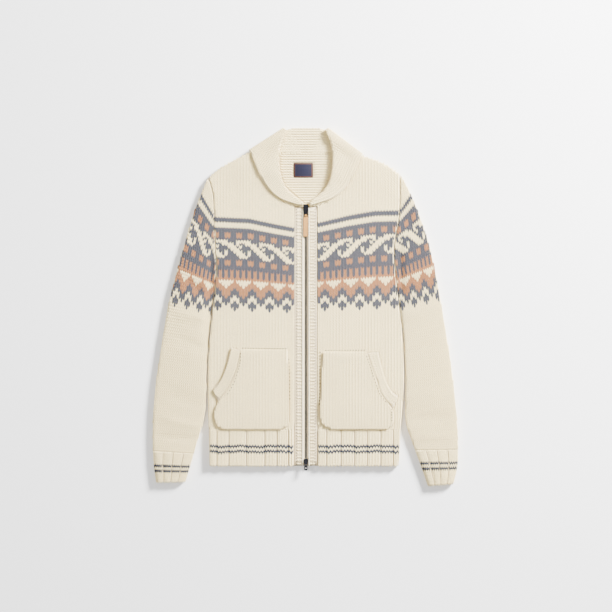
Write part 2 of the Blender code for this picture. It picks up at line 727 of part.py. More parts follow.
def block(name, low, high, look=None, bevel=0.0):
    """Box between two corners."""
    bpy.ops.mesh.primitive_cube_add(size=1)
    part = bpy.context.object
    part.name = name
    for vertex in part.data.vertices:
        vertex.co = [(a + b) / 2 * MM + c * (b - a) * MM for a, b, c in zip(low, high, vertex.co)]
    home = bpy.data.collections["cardigan" if look else "tools"]
    for owner in part.users_collection:
        owner.objects.unlink(part)
    home.objects.link(part)
    if look:
        part.data.materials.append(material_for(*look))
    if bevel:
        edge = part.modifiers.new("edges", "BEVEL")
        edge.width = bevel * MM
        edge.segments = 2
    if not look:
        part.hide_render = True
        part.display_type = "WIRE"
    return part


def outline_plate(name, outlines, low, high, look=None, turn=None):
    """Flat plate from closed outlines in its own plane, the first outside and the rest holes."""
    curve = bpy.data.curves.new(name, "CURVE")
    curve.dimensions = "2D"
    curve.fill_mode = "BOTH"
    curve.extrude = (high - low) / 2 * MM
    for outline in outlines:
        spline = curve.splines.new("POLY")
        spline.points.add(len(outline) - 1)
        spline.use_cyclic_u = True
        for point, (x, y) in zip(spline.points, outline):
            point.co = (x * MM, y * MM, 0.0, 1.0)
    holder = bpy.data.objects.new(name + "_outline", curve)
    bpy.context.scene.collection.objects.link(holder)
    graph = bpy.context.evaluated_depsgraph_get()
    mesh = bpy.data.meshes.new_from_object(holder.evaluated_get(graph))
    bpy.data.objects.remove(holder)
    bm = bmesh.new()
    bm.from_mesh(mesh)
    bmesh.ops.remove_doubles(bm, verts=bm.verts, dist=1e-6)
    bmesh.ops.recalc_face_normals(bm, faces=bm.faces)
    for vertex in bm.verts:
        x, y, z = vertex.co
        z += (low + high) / 2 * MM
        vertex.co = (z, x, y) if turn else (x, y, z)
    bm.to_mesh(mesh)
    bm.free()
    mesh.materials.clear()
    part = bpy.data.objects.new(name, mesh)
    bpy.data.collections["cardigan" if look else "tools"].objects.link(part)
    if look:
        part.data.materials.append(material_for(*look))
    else:
        part.hide_render = True
        part.display_type = "WIRE"
    return part


def rounded(low, high, radius, steps=4):
    """Outline of a rectangle with round corners."""
    points = []
    corners = (
        (high[0] - radius, high[1] - radius, 0), (low[0] + radius, high[1] - radius, 90),
        (low[0] + radius, low[1] + radius, 180), (high[0] - radius, low[1] + radius, 270),
    )
    for x, y, start in corners:
        for i in range(steps + 1):
            a = math.radians(start + 90 * i / steps)
            points.append((x + radius * math.cos(a), y + radius * math.sin(a)))
    return points


def circle(x, y, radius, steps=20):
    """Points of a circle in plan."""
    return [
        (x + radius * math.cos(math.tau * i / steps), y + radius * math.sin(math.tau * i / steps))
        for i in range(steps)
    ]


def join(part, others):
    """Unites helper solids with a part."""
    for other in others:
        union = part.modifiers.new("join", "BOOLEAN")
        union.operation = "UNION"
        union.object = other


PLATE_TOP = PLATE_BOTTOM + PLATE_THICKNESS
AXIS_Z = PLATE_TOP + RUN


def build_slider(name, top_y, bottom_y, half_width, axis_y, foot_y):
    """Slider: plate over the cords, wedge between the teeth and the bridge that holds the pull."""
    waist = (top_y + bottom_y) / 2
    shape = [
        (ZIP_X - half_width * 0.72, top_y), (ZIP_X - half_width, top_y - 2.0), (ZIP_X - half_width, waist),
        (ZIP_X - half_width * 0.66, bottom_y), (ZIP_X + half_width * 0.66, bottom_y),
        (ZIP_X + half_width, waist), (ZIP_X + half_width, top_y - 2.0), (ZIP_X + half_width * 0.72, top_y),
    ]
    plate = outline_plate(name, [shape], PLATE_BOTTOM, PLATE_TOP, METAL)
    wedge = block(
        name + "_wedge", (ZIP_X - NECK_HALF, bottom_y + 1.6, TAPE_TOP + SEAM),
        (ZIP_X + NECK_HALF, top_y - 1.5, PLATE_BOTTOM + 0.5),
    )
    arch = AXIS_Z + RUN
    far = top_y - 1.6
    parts = [
        ((foot_y - 1.6, PLATE_TOP - 0.4), (foot_y, arch + 0.3)),
        ((far - 1.8, PLATE_TOP - 0.4), (far, arch + 0.3)),
        ((foot_y - 1.6, arch), (far, arch + 1.2)),
    ]
    bridge = [
        block(f"{name}_bridge_{i}", (ZIP_X - 1.3 + 0.02 * i, a[0], a[1]), (ZIP_X + 1.3 - 0.02 * i, b[0], b[1]))
        for i, (a, b) in enumerate(parts)
    ]
    join(plate, [wedge] + bridge)
    return plate


def build_zip():
    """Tapes, closed chain, both sliders and their pulls."""
    for side in (-1, 1):
        near, far = ZIP_X + side * 0.2, ZIP_X + side * TAPE_WIDTH
        block(
            "zip_tape_left" if side < 0 else "zip_tape_right",
            (min(near, far), HEM_BOTTOM + 1.0, TAPE_TOP - TAPE_THICKNESS),
            (max(near, far), BAND_TOP - 1.0, TAPE_TOP),
            TAPE,
        )
    axis = PULL_ANGLE_Y["zip"]
    low_axis = PULL_ANGLE_Y["hem"]
    build_slider("zip_slider", 225.0, 201.9, 5.8, axis, axis - 3.0)
    build_slider("bottom_slider", -333.4, -346.4, 5.0, low_axis, low_axis - 2.6)
    block(
        "zip_chain",
        (ZIP_X - CHAIN_HALF, -332.0, TAPE_TOP + SEAM),
        (ZIP_X + CHAIN_HALF, CHAIN_TOP_Y, CHAIN_TOP),
        TEETH,
        bevel=0.5,
    )
    half = LINK_THICKNESS / 2
    far_bar = axis - 8.4
    outside = rounded((ZIP_X - 3.7, far_bar - BAR_WIDTH / 2), (ZIP_X + 3.7, axis + BAR_WIDTH / 2), 1.4)
    inside = rounded((ZIP_X - 2.3, far_bar + BAR_WIDTH / 2), (ZIP_X + 2.3, axis - BAR_WIDTH / 2), 0.6)
    outline_plate("pull_link", [outside, inside], AXIS_Z - half, AXIS_Z + half, METAL)
    strap_bottom = AXIS_Z - 2.3
    strap_top = far_bar - BAR_WIDTH / 2 - 0.6
    end_y = 154.3
    strap = outline_plate("leather_pull", [[
        (ZIP_X - 2.6, strap_top), (ZIP_X - 5.1, strap_top - 3.4), (ZIP_X - 5.3, strap_top - 20),
        (ZIP_X - 5.6, end_y + 1.2), (ZIP_X - 4.8, end_y), (ZIP_X + 3.4, end_y), (ZIP_X + 4.2, end_y + 1.2),
        (ZIP_X + 4.7, strap_top - 20), (ZIP_X + 5.0, strap_top - 3.4), (ZIP_X + 2.6, strap_top),
    ]], strap_bottom, strap_bottom + 2.2, LEATHER)
    loop = outline_plate(
        "leather_loop", [circle(far_bar, AXIS_Z, 2.3), circle(far_bar, AXIS_Z, 1.35)],
        ZIP_X - 1.9, ZIP_X + 1.9, turn=True,
    )
    join(strap, [loop])
    tab_end = -359.2
    outside = rounded((ZIP_X - 3.75, tab_end), (ZIP_X + 3.75, low_axis + BAR_WIDTH / 2), 1.6)
    inside = rounded((ZIP_X - 2.1, low_axis - 6.6), (ZIP_X + 2.1, low_axis - BAR_WIDTH / 2), 0.6)
    outline_plate(
        "bottom_tab", [outside, inside, circle(ZIP_X, tab_end + 5.4, 1.7)], AXIS_Z - 0.6, AXIS_Z + 0.6, METAL
    )


def build_label():
    """Woven label sewn to the inside of the back."""
    rows = []
    for i in range(6):
        y = LABEL_CENTRE.y - LABEL.y / 2 + LABEL.y * i / 5
        rows.append([
            (x, y, back_mid(x, y) + WALL / 2 + 2 * SEAM + 0.4)
            for x in (LABEL_CENTRE.x - LABEL.x / 2, LABEL_CENTRE.x, LABEL_CENTRE.x + LABEL.x / 2)
        ])
    shell("neck_label", rows, LABEL_CLOTH, thickness=0.8)


def main():
    for old in list(bpy.data.objects):
        bpy.data.objects.remove(old)
    for name in ("cardigan", "tools"):
        home = bpy.data.collections.new(name)
        bpy.context.scene.collection.children.link(home)
    bpy.data.collections["tools"].hide_render = True
    build_back()
    build_hem()
    for side in (-1, 1):
        build_front(side)
        build_sleeve(side)
        build_placket(side)
        build_pocket(side)
    build_collar()
    build_zip()
    build_label()


main()
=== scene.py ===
"""Finished look of a chunky knitted zip cardigan that lies flat and is seen from straight above.

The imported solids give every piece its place. Each cloth solid is replaced by a smooth wall with
soft creases, and the knit on it is made stitch by stitch: every V, purl bump and zip tooth is an
instance that Geometry Nodes put on the wall and then make real. Lengths inside the classes are in
millimetres, unless their own line says metres, and are turned into metres when a mesh is written.
"""

from __future__ import annotations

import logging
import math
from dataclasses import dataclass, field
from enum import Enum
from typing import Callable, Iterable, Sequence

import bmesh
import bpy
import numpy as np
from mathutils import Matrix, Vector
from mathutils.bvhtree import BVHTree

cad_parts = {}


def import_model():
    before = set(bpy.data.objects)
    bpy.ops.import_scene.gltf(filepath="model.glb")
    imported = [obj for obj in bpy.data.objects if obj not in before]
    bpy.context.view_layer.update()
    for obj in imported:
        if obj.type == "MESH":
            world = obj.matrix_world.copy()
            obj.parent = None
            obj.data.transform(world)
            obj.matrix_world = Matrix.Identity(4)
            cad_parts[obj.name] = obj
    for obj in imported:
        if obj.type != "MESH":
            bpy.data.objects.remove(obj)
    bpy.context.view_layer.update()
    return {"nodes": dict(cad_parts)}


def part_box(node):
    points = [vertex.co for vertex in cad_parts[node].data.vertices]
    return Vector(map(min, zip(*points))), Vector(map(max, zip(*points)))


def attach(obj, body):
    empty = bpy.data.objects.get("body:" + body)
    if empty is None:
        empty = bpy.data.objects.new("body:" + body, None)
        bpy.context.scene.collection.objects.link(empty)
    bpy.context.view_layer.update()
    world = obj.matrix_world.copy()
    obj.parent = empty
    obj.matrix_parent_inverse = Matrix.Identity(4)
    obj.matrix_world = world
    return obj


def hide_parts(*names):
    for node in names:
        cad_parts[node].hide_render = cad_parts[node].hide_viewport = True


LOG = logging.getLogger("cardigan")
MM = 0.001

# Places and sizes that several pieces share, in millimetres: the zip's middle, both edges of the
# hem's band, and the width and height of one knit stitch on the body.
ZIP_X = 1.0
HEM_TOP = -270.3
HEM_BOTTOM = -348.8
WALE = 6.35
COURSE = 5.6

Plan = tuple[float, float]
Colour = tuple[float, float, float]


def linear(red: int, green: int, blue: int) -> Colour:
    """Turns an sRGB colour of 0 to 255 into linear values by the standard curve."""
    return tuple(((c / 255 + 0.055) / 1.055) ** 2.4 if c > 10 else c / 3295 for c in (red, green, blue))


class Side(Enum):
    """The viewer's left and right half of the garment."""

    LEFT = -1
    RIGHT = 1

    @property
    def word(self) -> str:
        """Name of the half as the nodes spell it."""
        return self.name.lower()


class Yarn(Enum):
    """Yarn colours of the cardigan, and the painted shade that stands for the small openings between
    stitches.
    """

    CREAM = linear(246, 228, 174)
    GREY = linear(74, 74, 80)
    TAN = linear(166, 114, 74)
    STRIPE = linear(58, 61, 69)
    CORD = linear(250, 240, 210)
    THREAD = linear(176, 132, 88)
    # Painted shade: dark brown for the openings of seams and pick-ups, standing in for the shade inside each
    # hole.
    PIT = linear(74, 56, 34)


class Loop(Enum):
    """Kinds of knit form that are set on a wall."""

    KNIT = "knit_loop"
    PRESSED = "pressed_loop"
    PURL = "purl_loop"
    TOOTH = "zip_tooth"
    SEWN = "sewn_stitch"


def smooth_step(t: float) -> float:
    """Smooth step of t between 0 and 1."""
    t = max(0.0, min(1.0, t))
    return t * t * (3 - 2 * t)


@dataclass
class NodeCanvas:
    """Adds nodes to a tree and links them.

    Attributes:
        tree: The node tree that is drawn on.
        column: Number of nodes so far, which places the next one.
    """

    tree: bpy.types.NodeTree
    column: int = 0

    def add(self, kind: str, **settings: object) -> bpy.types.Node:
        """Adds one node and sets its plain settings.

        Args:
            kind: Blender's type name of the node.
            **settings: Attributes of the node and their values.

        Returns:
            The new node.
        """
        node = self.tree.nodes.new(kind)
        for name, value in settings.items():
            setattr(node, name, value)
        self.column += 1
        node.location = (self.column * 180, -(self.column % 4) * 160)
        return node

    def link(self, source: bpy.types.NodeSocket, target: bpy.types.NodeSocket) -> None:
        """Links an output to an input."""
        self.tree.links.new(source, target)

    def math(self, operation: str, *values: object) -> bpy.types.NodeSocket:
        """Adds a Math node fed by sockets or numbers.

        Args:
            operation: Name of the Math operation.
            *values: Socket or number of each input.

        Returns:
            The node's output.
        """
        node = self.add("ShaderNodeMath", operation=operation)
        for slot, value in enumerate(values):
            if isinstance(value, bpy.types.NodeSocket):
                self.link(value, node.inputs[slot])
            else:
                node.inputs[slot].default_value = value
        return node.outputs[0]

    def noise(self, place: bpy.types.NodeSocket, scale: float, detail: float = 2.0) -> bpy.types.NodeSocket:
        """Adds a noise on Object coordinates.

        Args:
            place: Socket of the coordinates.
            scale: Scale per metre.
            detail: Number of finer layers.

        Returns:
            The noise as a factor.
        """
        node = self.add("ShaderNodeTexNoise")
        node.inputs["Scale"].default_value = scale
        node.inputs["Detail"].default_value = detail
        self.link(place, node.inputs["Vector"])
        return node.outputs["Fac"]

    def bump(self, height: bpy.types.NodeSocket, shader: bpy.types.Node, strength: float,
             distance: float) -> None:
        """Gives a shader a relief.

        Args:
            height: Socket of the height.
            shader: Shader that gets the relief.
            strength: Strength of the bump.
            distance: Depth of the bump in metres.
        """
        relief = self.add("ShaderNodeBump")
        relief.inputs["Strength"].default_value = strength
        relief.inputs["Distance"].default_value = distance
        self.link(height, relief.inputs["Height"])
        self.link(relief.outputs["Normal"], shader.inputs["Normal"])


def new_group(
    name: str, inputs: Sequence[tuple[str, str, object]], outputs: Sequence[tuple[str, str]]
) -> tuple[NodeCanvas, bpy.types.Node, bpy.types.Node]:
    """Makes an empty shader node group with named sockets.

    Args:
        name: Name of the group.
        inputs: Name, socket type and default of each input.
        outputs: Name and socket type of each output.

    Returns:
        The canvas of its tree, and its input and output nodes.
    """
    tree = bpy.data.node_groups.new(name, "ShaderNodeTree")
    for label, kind, value in inputs:
        socket = tree.interface.new_socket(name=label, in_out="INPUT", socket_type=kind)
        if value is not None:
            socket.default_value = value
    for label, kind in outputs:
        tree.interface.new_socket(name=label, in_out="OUTPUT", socket_type=kind)
    canvas = NodeCanvas(tree)
    return canvas, canvas.add("NodeGroupInput"), canvas.add("NodeGroupOutput")


class SharedEffects:
    """Shader node groups that several finishes use.

    The scales of the noises are per metre. POSITIVE is a whole number of stitches, added so that
    their counts are above zero everywhere.
    """

    FLECK_SCALE = 620
    FLECK_GAIN = 3.2
    DRIFT_SCALE = 26
    FIBRE_SCALE = 1900
    PLY_SLANT = 2.0
    LEG_RELIEF = 0.6
    POSITIVE = 1000.0

    def __init__(self) -> None:
        """Builds the groups once."""
        self.melange = self._melange()
        self.plies = self._plies()
        self.stocking = self._stocking_relief()

    def _melange(self) -> bpy.types.NodeTree:
        """Builds the flecked colour of a mixed yarn.

        Returns:
            The node group.
        """
        canvas, start, end = new_group(
            "melange",
            [("Colour", "NodeSocketColor", (0.8, 0.8, 0.8, 1)), ("Fleck", "NodeSocketFloat", 0.3),
             ("Drift", "NodeSocketFloat", 0.1)],
            [("Colour", "NodeSocketColor")],
        )
        place = canvas.add("ShaderNodeTexCoord").outputs["Object"]
        fleck = canvas.math("SUBTRACT", canvas.noise(place, self.FLECK_SCALE, 3), 0.5)
        drift = canvas.math("SUBTRACT", canvas.noise(place, self.DRIFT_SCALE), 0.5)
        gained = canvas.math("MULTIPLY", fleck, self.FLECK_GAIN)
        strong = canvas.math("MULTIPLY", gained, start.outputs["Fleck"])
        slow = canvas.math("MULTIPLY", drift, start.outputs["Drift"])
        gain = canvas.math("ADD", canvas.math("ADD", strong, slow), 1.0)
        scaled = canvas.add("ShaderNodeVectorMath", operation="SCALE")
        canvas.link(start.outputs["Colour"], scaled.inputs[0])
        canvas.link(gain, scaled.inputs["Scale"])
        canvas.link(scaled.outputs[0], end.inputs["Colour"])
        return canvas.tree

    def _plies(self) -> bpy.types.NodeTree:
        """Builds the twist of the plies along a loop, and its loose fibres.

        Returns:
            The node group.
        """
        canvas, start, end = new_group(
            "yarn_plies",
            [("Plies", "NodeSocketFloat", 7.0), ("Fuzz", "NodeSocketFloat", 0.4)],
            [("Height", "NodeSocketFloat")],
        )
        chart = canvas.add("ShaderNodeUVMap", uv_map="loop")
        split = canvas.add("ShaderNodeSeparateXYZ")
        canvas.link(chart.outputs["UV"], split.inputs[0])
        along = canvas.math("MULTIPLY", split.outputs["Y"], start.outputs["Plies"])
        slant = canvas.math("ADD", along, canvas.math("MULTIPLY", split.outputs["X"], self.PLY_SLANT))
        wave = canvas.math("ABSOLUTE", canvas.math("SINE", canvas.math("MULTIPLY", slant, math.pi)))
        fibres = canvas.noise(canvas.add("ShaderNodeTexCoord").outputs["Object"], self.FIBRE_SCALE, 4)
        fuzz = canvas.math("MULTIPLY", fibres, start.outputs["Fuzz"])
        canvas.link(canvas.math("ADD", wave, fuzz), end.inputs["Height"])
        return canvas.tree

    def _stocking_relief(self) -> bpy.types.NodeTree:
        """Builds the columns of V stitches as a height, for the walls that show between the loops.

        Returns:
            The node group.
        """
        canvas, start, end = new_group(
            "stocking_relief",
            [("Place", "NodeSocketVector", None), ("Wale", "NodeSocketFloat", WALE * MM),
             ("Course", "NodeSocketFloat", COURSE * MM)],
            [("Height", "NodeSocketFloat")],
        )
        split = canvas.add("ShaderNodeSeparateXYZ")
        canvas.link(start.outputs["Place"], split.inputs[0])
        across = canvas.math("DIVIDE", split.outputs["X"], start.outputs["Wale"])
        within = canvas.math("FRACT", canvas.math("ADD", across, self.POSITIVE))
        spread = canvas.math("MULTIPLY", canvas.math("ABSOLUTE", canvas.math("SUBTRACT", within, 0.5)), 2.0)
        up = canvas.math("DIVIDE", split.outputs["Y"], start.outputs["Course"])
        leg = canvas.math("FRACT", canvas.math("ADD", canvas.math("SUBTRACT", up, spread), self.POSITIVE))
        round_leg = canvas.math("SINE", canvas.math("MULTIPLY", leg, math.pi))
        round_side = canvas.math("SINE", canvas.math("MULTIPLY", spread, math.pi))
        body = canvas.math("MULTIPLY_ADD", round_leg, self.LEG_RELIEF, 1.0 - self.LEG_RELIEF)
        canvas.link(canvas.math("MULTIPLY", body, round_side), end.inputs["Height"])
        return canvas.tree


def group_node(canvas: NodeCanvas, tree: bpy.types.NodeTree, **values: object) -> bpy.types.Node:
    """Places a shared node group in a material.

    Args:
        canvas: Canvas of the material.
        tree: The shared group.
        **values: Input values by socket name.

    Returns:
        The group's node.
    """
    node = canvas.add("ShaderNodeGroup", node_tree=tree)
    for name, value in values.items():
        node.inputs[name].default_value = value
    return node


def blank_material(name: str) -> tuple[bpy.types.Material, NodeCanvas, bpy.types.Node]:
    """Makes a material that holds only a Principled shader.

    Args:
        name: Name of the material.

    Returns:
        The material, its canvas and its shader node.
    """
    material = bpy.data.materials.new(name)
    material.use_nodes = True
    return material, NodeCanvas(material.node_tree), material.node_tree.nodes["Principled BSDF"]


def set_inputs(shader: bpy.types.Node, values: dict[str, float]) -> None:
    """Sets a shader's plain inputs by name."""
    for name, value in values.items():
        shader.inputs[name].default_value = value


@dataclass(frozen=True)
class YarnFinish:
    """Loops of yarn, coloured by the attribute that each loop carries.

    Attributes:
        name: Name of the material.
        fleck: Strength of the flecks.
        plies: How many turns of the plies show along one leg.
    """

    name: str
    fleck: float
    plies: float = 6.0
    PLY_DEPTH = 0.35

    def material(self, effects: SharedEffects) -> bpy.types.Material:
        """Builds the material.

        Args:
            effects: The shared node groups.

        Returns:
            The material.
        """
        material, canvas, shader = blank_material(self.name)
        dye = canvas.add("ShaderNodeAttribute", attribute_name="yarn", attribute_type="GEOMETRY")
        mixed = group_node(canvas, effects.melange, Fleck=self.fleck, Drift=0.10)
        canvas.link(dye.outputs["Color"], mixed.inputs["Colour"])
        canvas.link(mixed.outputs["Colour"], shader.inputs["Base Color"])
        twist = group_node(canvas, effects.plies, Plies=self.plies, Fuzz=0.7)
        canvas.bump(twist.outputs["Height"], shader, 0.5, self.PLY_DEPTH * MM)
        set_inputs(shader, {
            "Roughness": 0.92, "Sheen Weight": 0.22, "Sheen Roughness": 0.5, "Specular IOR Level": 0.2,
        })
        return material


@dataclass(frozen=True)
class WallFinish:
    """Knitted wall behind the loops, with the relief of its stitches.

    Attributes:
        name: Name of the material.
        colour: Linear colour of the wall: the yarn's cream, darkened as painted shade between the loops.
        turn: Angle of the wales from +Y, in degrees.
        depth: Height of the relief in millimetres.
        wale: Width of one wale in millimetres.
        course: Height of one course in millimetres.
    """

    name: str
    colour: Colour
    turn: float = 0.0
    depth: float = 1.1
    wale: float = WALE
    course: float = COURSE

    def material(self, effects: SharedEffects) -> bpy.types.Material:
        """Builds the material.

        Args:
            effects: The shared node groups.

        Returns:
            The material.
        """
        material, canvas, shader = blank_material(self.name)
        # The wall's colour carries painted shade for the gaps between the loops.
        mixed = group_node(canvas, effects.melange, Colour=(*self.colour, 1.0), Fleck=0.12, Drift=0.12)
        canvas.link(mixed.outputs["Colour"], shader.inputs["Base Color"])
        turned = canvas.add("ShaderNodeMapping")
        turned.inputs["Rotation"].default_value = (0.0, 0.0, math.radians(self.turn))
        canvas.link(canvas.add("ShaderNodeTexCoord").outputs["Object"], turned.inputs["Vector"])
        knit = group_node(canvas, effects.stocking, Wale=self.wale * MM, Course=self.course * MM)
        canvas.link(turned.outputs["Vector"], knit.inputs["Place"])
        canvas.bump(knit.outputs["Height"], shader, 0.8, self.depth * MM)
        set_inputs(shader, {"Roughness": 0.94, "Sheen Weight": 0.15, "Specular IOR Level": 0.2})
        return material


@dataclass(frozen=True)
class SolidFinish:
    """Metal, leather or tape with a fine grain and slight wear.

    Attributes:
        name: Name of the material.
        colour: Linear colour.
        roughness: Middle roughness.
        metallic: 1 for metal.
        grain: Scale of the grain per metre.
        relief: Depth of the grain in millimetres.
        uneven: How much the colour varies.
    """

    name: str
    colour: Colour
    roughness: float
    metallic: float = 0.0
    grain: float = 900.0
    relief: float = 0.05
    uneven: float = 0.15
    WEAR = 0.12

    def material(self, effects: SharedEffects) -> bpy.types.Material:
        """Builds the material.

        Args:
            effects: The shared node groups.

        Returns:
            The material.
        """
        material, canvas, shader = blank_material(self.name)
        mixed = group_node(
            canvas, effects.melange, Colour=(*self.colour, 1.0), Fleck=self.uneven, Drift=self.uneven * 2
        )
        canvas.link(mixed.outputs["Colour"], shader.inputs["Base Color"])
        grain = canvas.noise(canvas.add("ShaderNodeTexCoord").outputs["Object"], self.grain, 5)
        rough = canvas.add("ShaderNodeMapRange")
        rough.inputs["To Min"].default_value = max(0.05, self.roughness - self.WEAR)
        rough.inputs["To Max"].default_value = min(1.0, self.roughness + self.WEAR)
        canvas.link(grain, rough.inputs["Value"])
        canvas.link(rough.outputs["Result"], shader.inputs["Roughness"])
        canvas.bump(grain, shader, 0.4, self.relief * MM)
        shader.inputs["Metallic"].default_value = self.metallic
        return material


@dataclass(frozen=True)
class LabelFinish:
    """Woven neck label: dark field, brown woven border and no words.

    Attributes:
        name: Name of the material.
        middle: Plan point of the label's middle in metres.
        inside: Half width and half height of the field in metres.
        field_colour: Linear colour of the field.
        border_colour: Linear colour of the border.
    """

    name: str = "woven_label"
    middle: Plan = (-0.0046, 0.2997)
    inside: Plan = (0.0178, 0.0128)
    field_colour: Colour = linear(16, 16, 38)
    border_colour: Colour = linear(66, 44, 36)
    THREAD_SCALE = 700
    THREAD_DEPTH = 0.1

    def material(self, effects: SharedEffects) -> bpy.types.Material:
        """Builds the material.

        Args:
            effects: The shared node groups.

        Returns:
            The material.
        """
        material, canvas, shader = blank_material(self.name)
        place = canvas.add("ShaderNodeTexCoord").outputs["Object"]
        split = canvas.add("ShaderNodeSeparateXYZ")
        canvas.link(place, split.inputs[0])
        past = []
        for axis, middle, inside in zip("XY", self.middle, self.inside):
            away = canvas.math("ABSOLUTE", canvas.math("SUBTRACT", split.outputs[axis], middle))
            past.append(canvas.math("GREATER_THAN", away, inside))
        mixed = canvas.add("ShaderNodeMix", data_type="RGBA")
        canvas.link(canvas.math("MAXIMUM", *past), mixed.inputs["Factor"])
        mixed.inputs[6].default_value = (*self.field_colour, 1)
        mixed.inputs[7].default_value = (*self.border_colour, 1)
        threads = canvas.add("ShaderNodeTexWave", bands_direction="X")
        threads.inputs["Scale"].default_value = self.THREAD_SCALE
        canvas.link(place, threads.inputs["Vector"])
        flecked = group_node(canvas, effects.melange, Fleck=0.25, Drift=0.2)
        canvas.link(mixed.outputs[2], flecked.inputs["Colour"])
        canvas.link(flecked.outputs["Colour"], shader.inputs["Base Color"])
        canvas.bump(threads.outputs["Fac"], shader, 0.4, self.THREAD_DEPTH * MM)
        set_inputs(shader, {"Roughness": 0.7, "Specular IOR Level": 0.25})
        return material


def linked(name: str, data: bpy.types.ID) -> bpy.types.Object:
    """Makes an object of some data and links it to the scene.

    Args:
        name: Name of the object.
        data: Its mesh, light or camera.

    Returns:
        The new object.
    """
    made = bpy.data.objects.new(name, data)
    bpy.context.scene.collection.objects.link(made)
    return made


def mesh_object(name: str, verts: Sequence[Sequence[float]], faces: Sequence[Sequence[int]],
                unit: float = MM) -> bpy.types.Object:
    """Makes an object from points and faces.

    Args:
        name: Name of the object.
        verts: Points, in millimetres unless another unit is given.
        faces: Indices of each face's points.
        unit: Length of one unit of the points in metres.

    Returns:
        The new object, linked to the scene.
    """
    mesh = bpy.data.meshes.new(name)
    mesh.from_pydata([[c * unit for c in v] for v in verts], [], [list(f) for f in faces])
    mesh.update()
    return linked(name, mesh)


def made_plain(source: bpy.types.Object, name: str) -> bpy.types.Object:
    """Turns an object's evaluated form into a plain mesh and removes the source.

    Args:
        source: Object with its modifiers.
        name: Name of the plain object.

    Returns:
        The plain object.
    """
    graph = bpy.context.evaluated_depsgraph_get()
    mesh = bpy.data.meshes.new_from_object(source.evaluated_get(graph))
    bpy.data.objects.remove(source)
    mesh.name = name
    return linked(name, mesh)


@dataclass(frozen=True)
class Crease:
    """A soft trough or ridge in the cloth, from one plan point to another.

    Attributes:
        start: Plan point of one end.
        end: Plan point of the other end.
        width: Half width in millimetres.
        rise: Height in millimetres, negative for a trough.
    """

    start: Plan
    end: Plan
    width: float
    rise: float
    PAST_END = 0.1
    FADE = 0.35

    def at(self, x: float, y: float) -> float:
        """Finds the height that the crease adds at a plan point, fading towards both ends.

        Args:
            x: Plan x in millimetres.
            y: Plan y in millimetres.

        Returns:
            The height in millimetres.
        """
        run = (self.end[0] - self.start[0], self.end[1] - self.start[1])
        size = math.hypot(*run)
        away = (x - self.start[0], y - self.start[1])
        along = (away[0] * run[0] + away[1] * run[1]) / size
        across = (away[0] * run[1] - away[1] * run[0]) / size
        share = along / size
        if not -self.PAST_END < share < 1 + self.PAST_END:
            return 0.0
        fade = smooth_step((share + self.PAST_END) / self.FADE)
        fade *= smooth_step((1 + self.PAST_END - share) / self.FADE)
        return self.rise * fade * math.exp(-(across / self.width) ** 2)


CREASES: dict[str, tuple[Crease, ...]] = {
    "sleeve_left": (
        Crease((-214, 20), (-262, 60), 9, -1.6), Crease((-212, -30), (-290, -10), 11, 1.3),
        Crease((-216, -95), (-285, -70), 10, -1.2), Crease((-224, -215), (-300, -190), 12, -1.3),
        Crease((-232, -262), (-318, -246), 9, 1.2), Crease((-240, -290), (-325, -284), 7, -1.3),
        Crease((-250, 120), (-232, 190), 9, -0.9), Crease((-206, 130), (-214, -120), 9, -3.2),
    ),
    "sleeve_right": (
        Crease((212, 22), (262, 70), 9, -1.6), Crease((214, -26), (286, 6), 11, 1.3),
        Crease((217, -105), (290, -78), 10, -1.2), Crease((222, -205), (300, -186), 12, 1.2),
        Crease((226, -250), (320, -240), 9, -1.4), Crease((236, -290), (326, -282), 7, 1.0),
        Crease((252, 110), (230, 196), 9, -0.9), Crease((208, 140), (212, 4), 8, -2.8),
    ),
    "front_left": (
        Crease((-196, 30), (-150, -8), 11, 1.0), Crease((-200, -70), (-120, -52), 14, -0.9),
        Crease((-60, 160), (-110, 60), 18, 0.8), Crease((-196, 210), (-150, 236), 12, -0.8),
        Crease((-34, 40), (-42, -80), 10, -0.7),
    ),
    "front_right": (
        Crease((198, 34), (148, -14), 11, 1.0), Crease((206, -60), (130, -36), 14, -0.9),
        Crease((66, 150), (124, 44), 18, 0.8), Crease((200, 214), (150, 240), 12, -0.8),
        Crease((38, 20), (44, -84), 10, -0.7),
    ),
    "pocket_left": (
        Crease((-150, -110), (-60, -100), 9, 1.0), Crease((-160, -190), (-90, -150), 14, -0.9),
        Crease((-50, -120), (-60, -230), 12, -0.7),
    ),
    "pocket_right": (
        Crease((140, -112), (60, -106), 9, 1.0), Crease((160, -200), (96, -160), 14, -0.9),
        Crease((48, -130), (60, -236), 12, -0.7),
    ),
    "collar": (
        Crease((-100, 322), (-70, 352), 7, -0.9), Crease((104, 318), (72, 346), 7, -0.9),
        Crease((-84, 282), (-62, 300), 8, 0.7), Crease((86, 276), (66, 296), 8, 0.7),
    ),
}


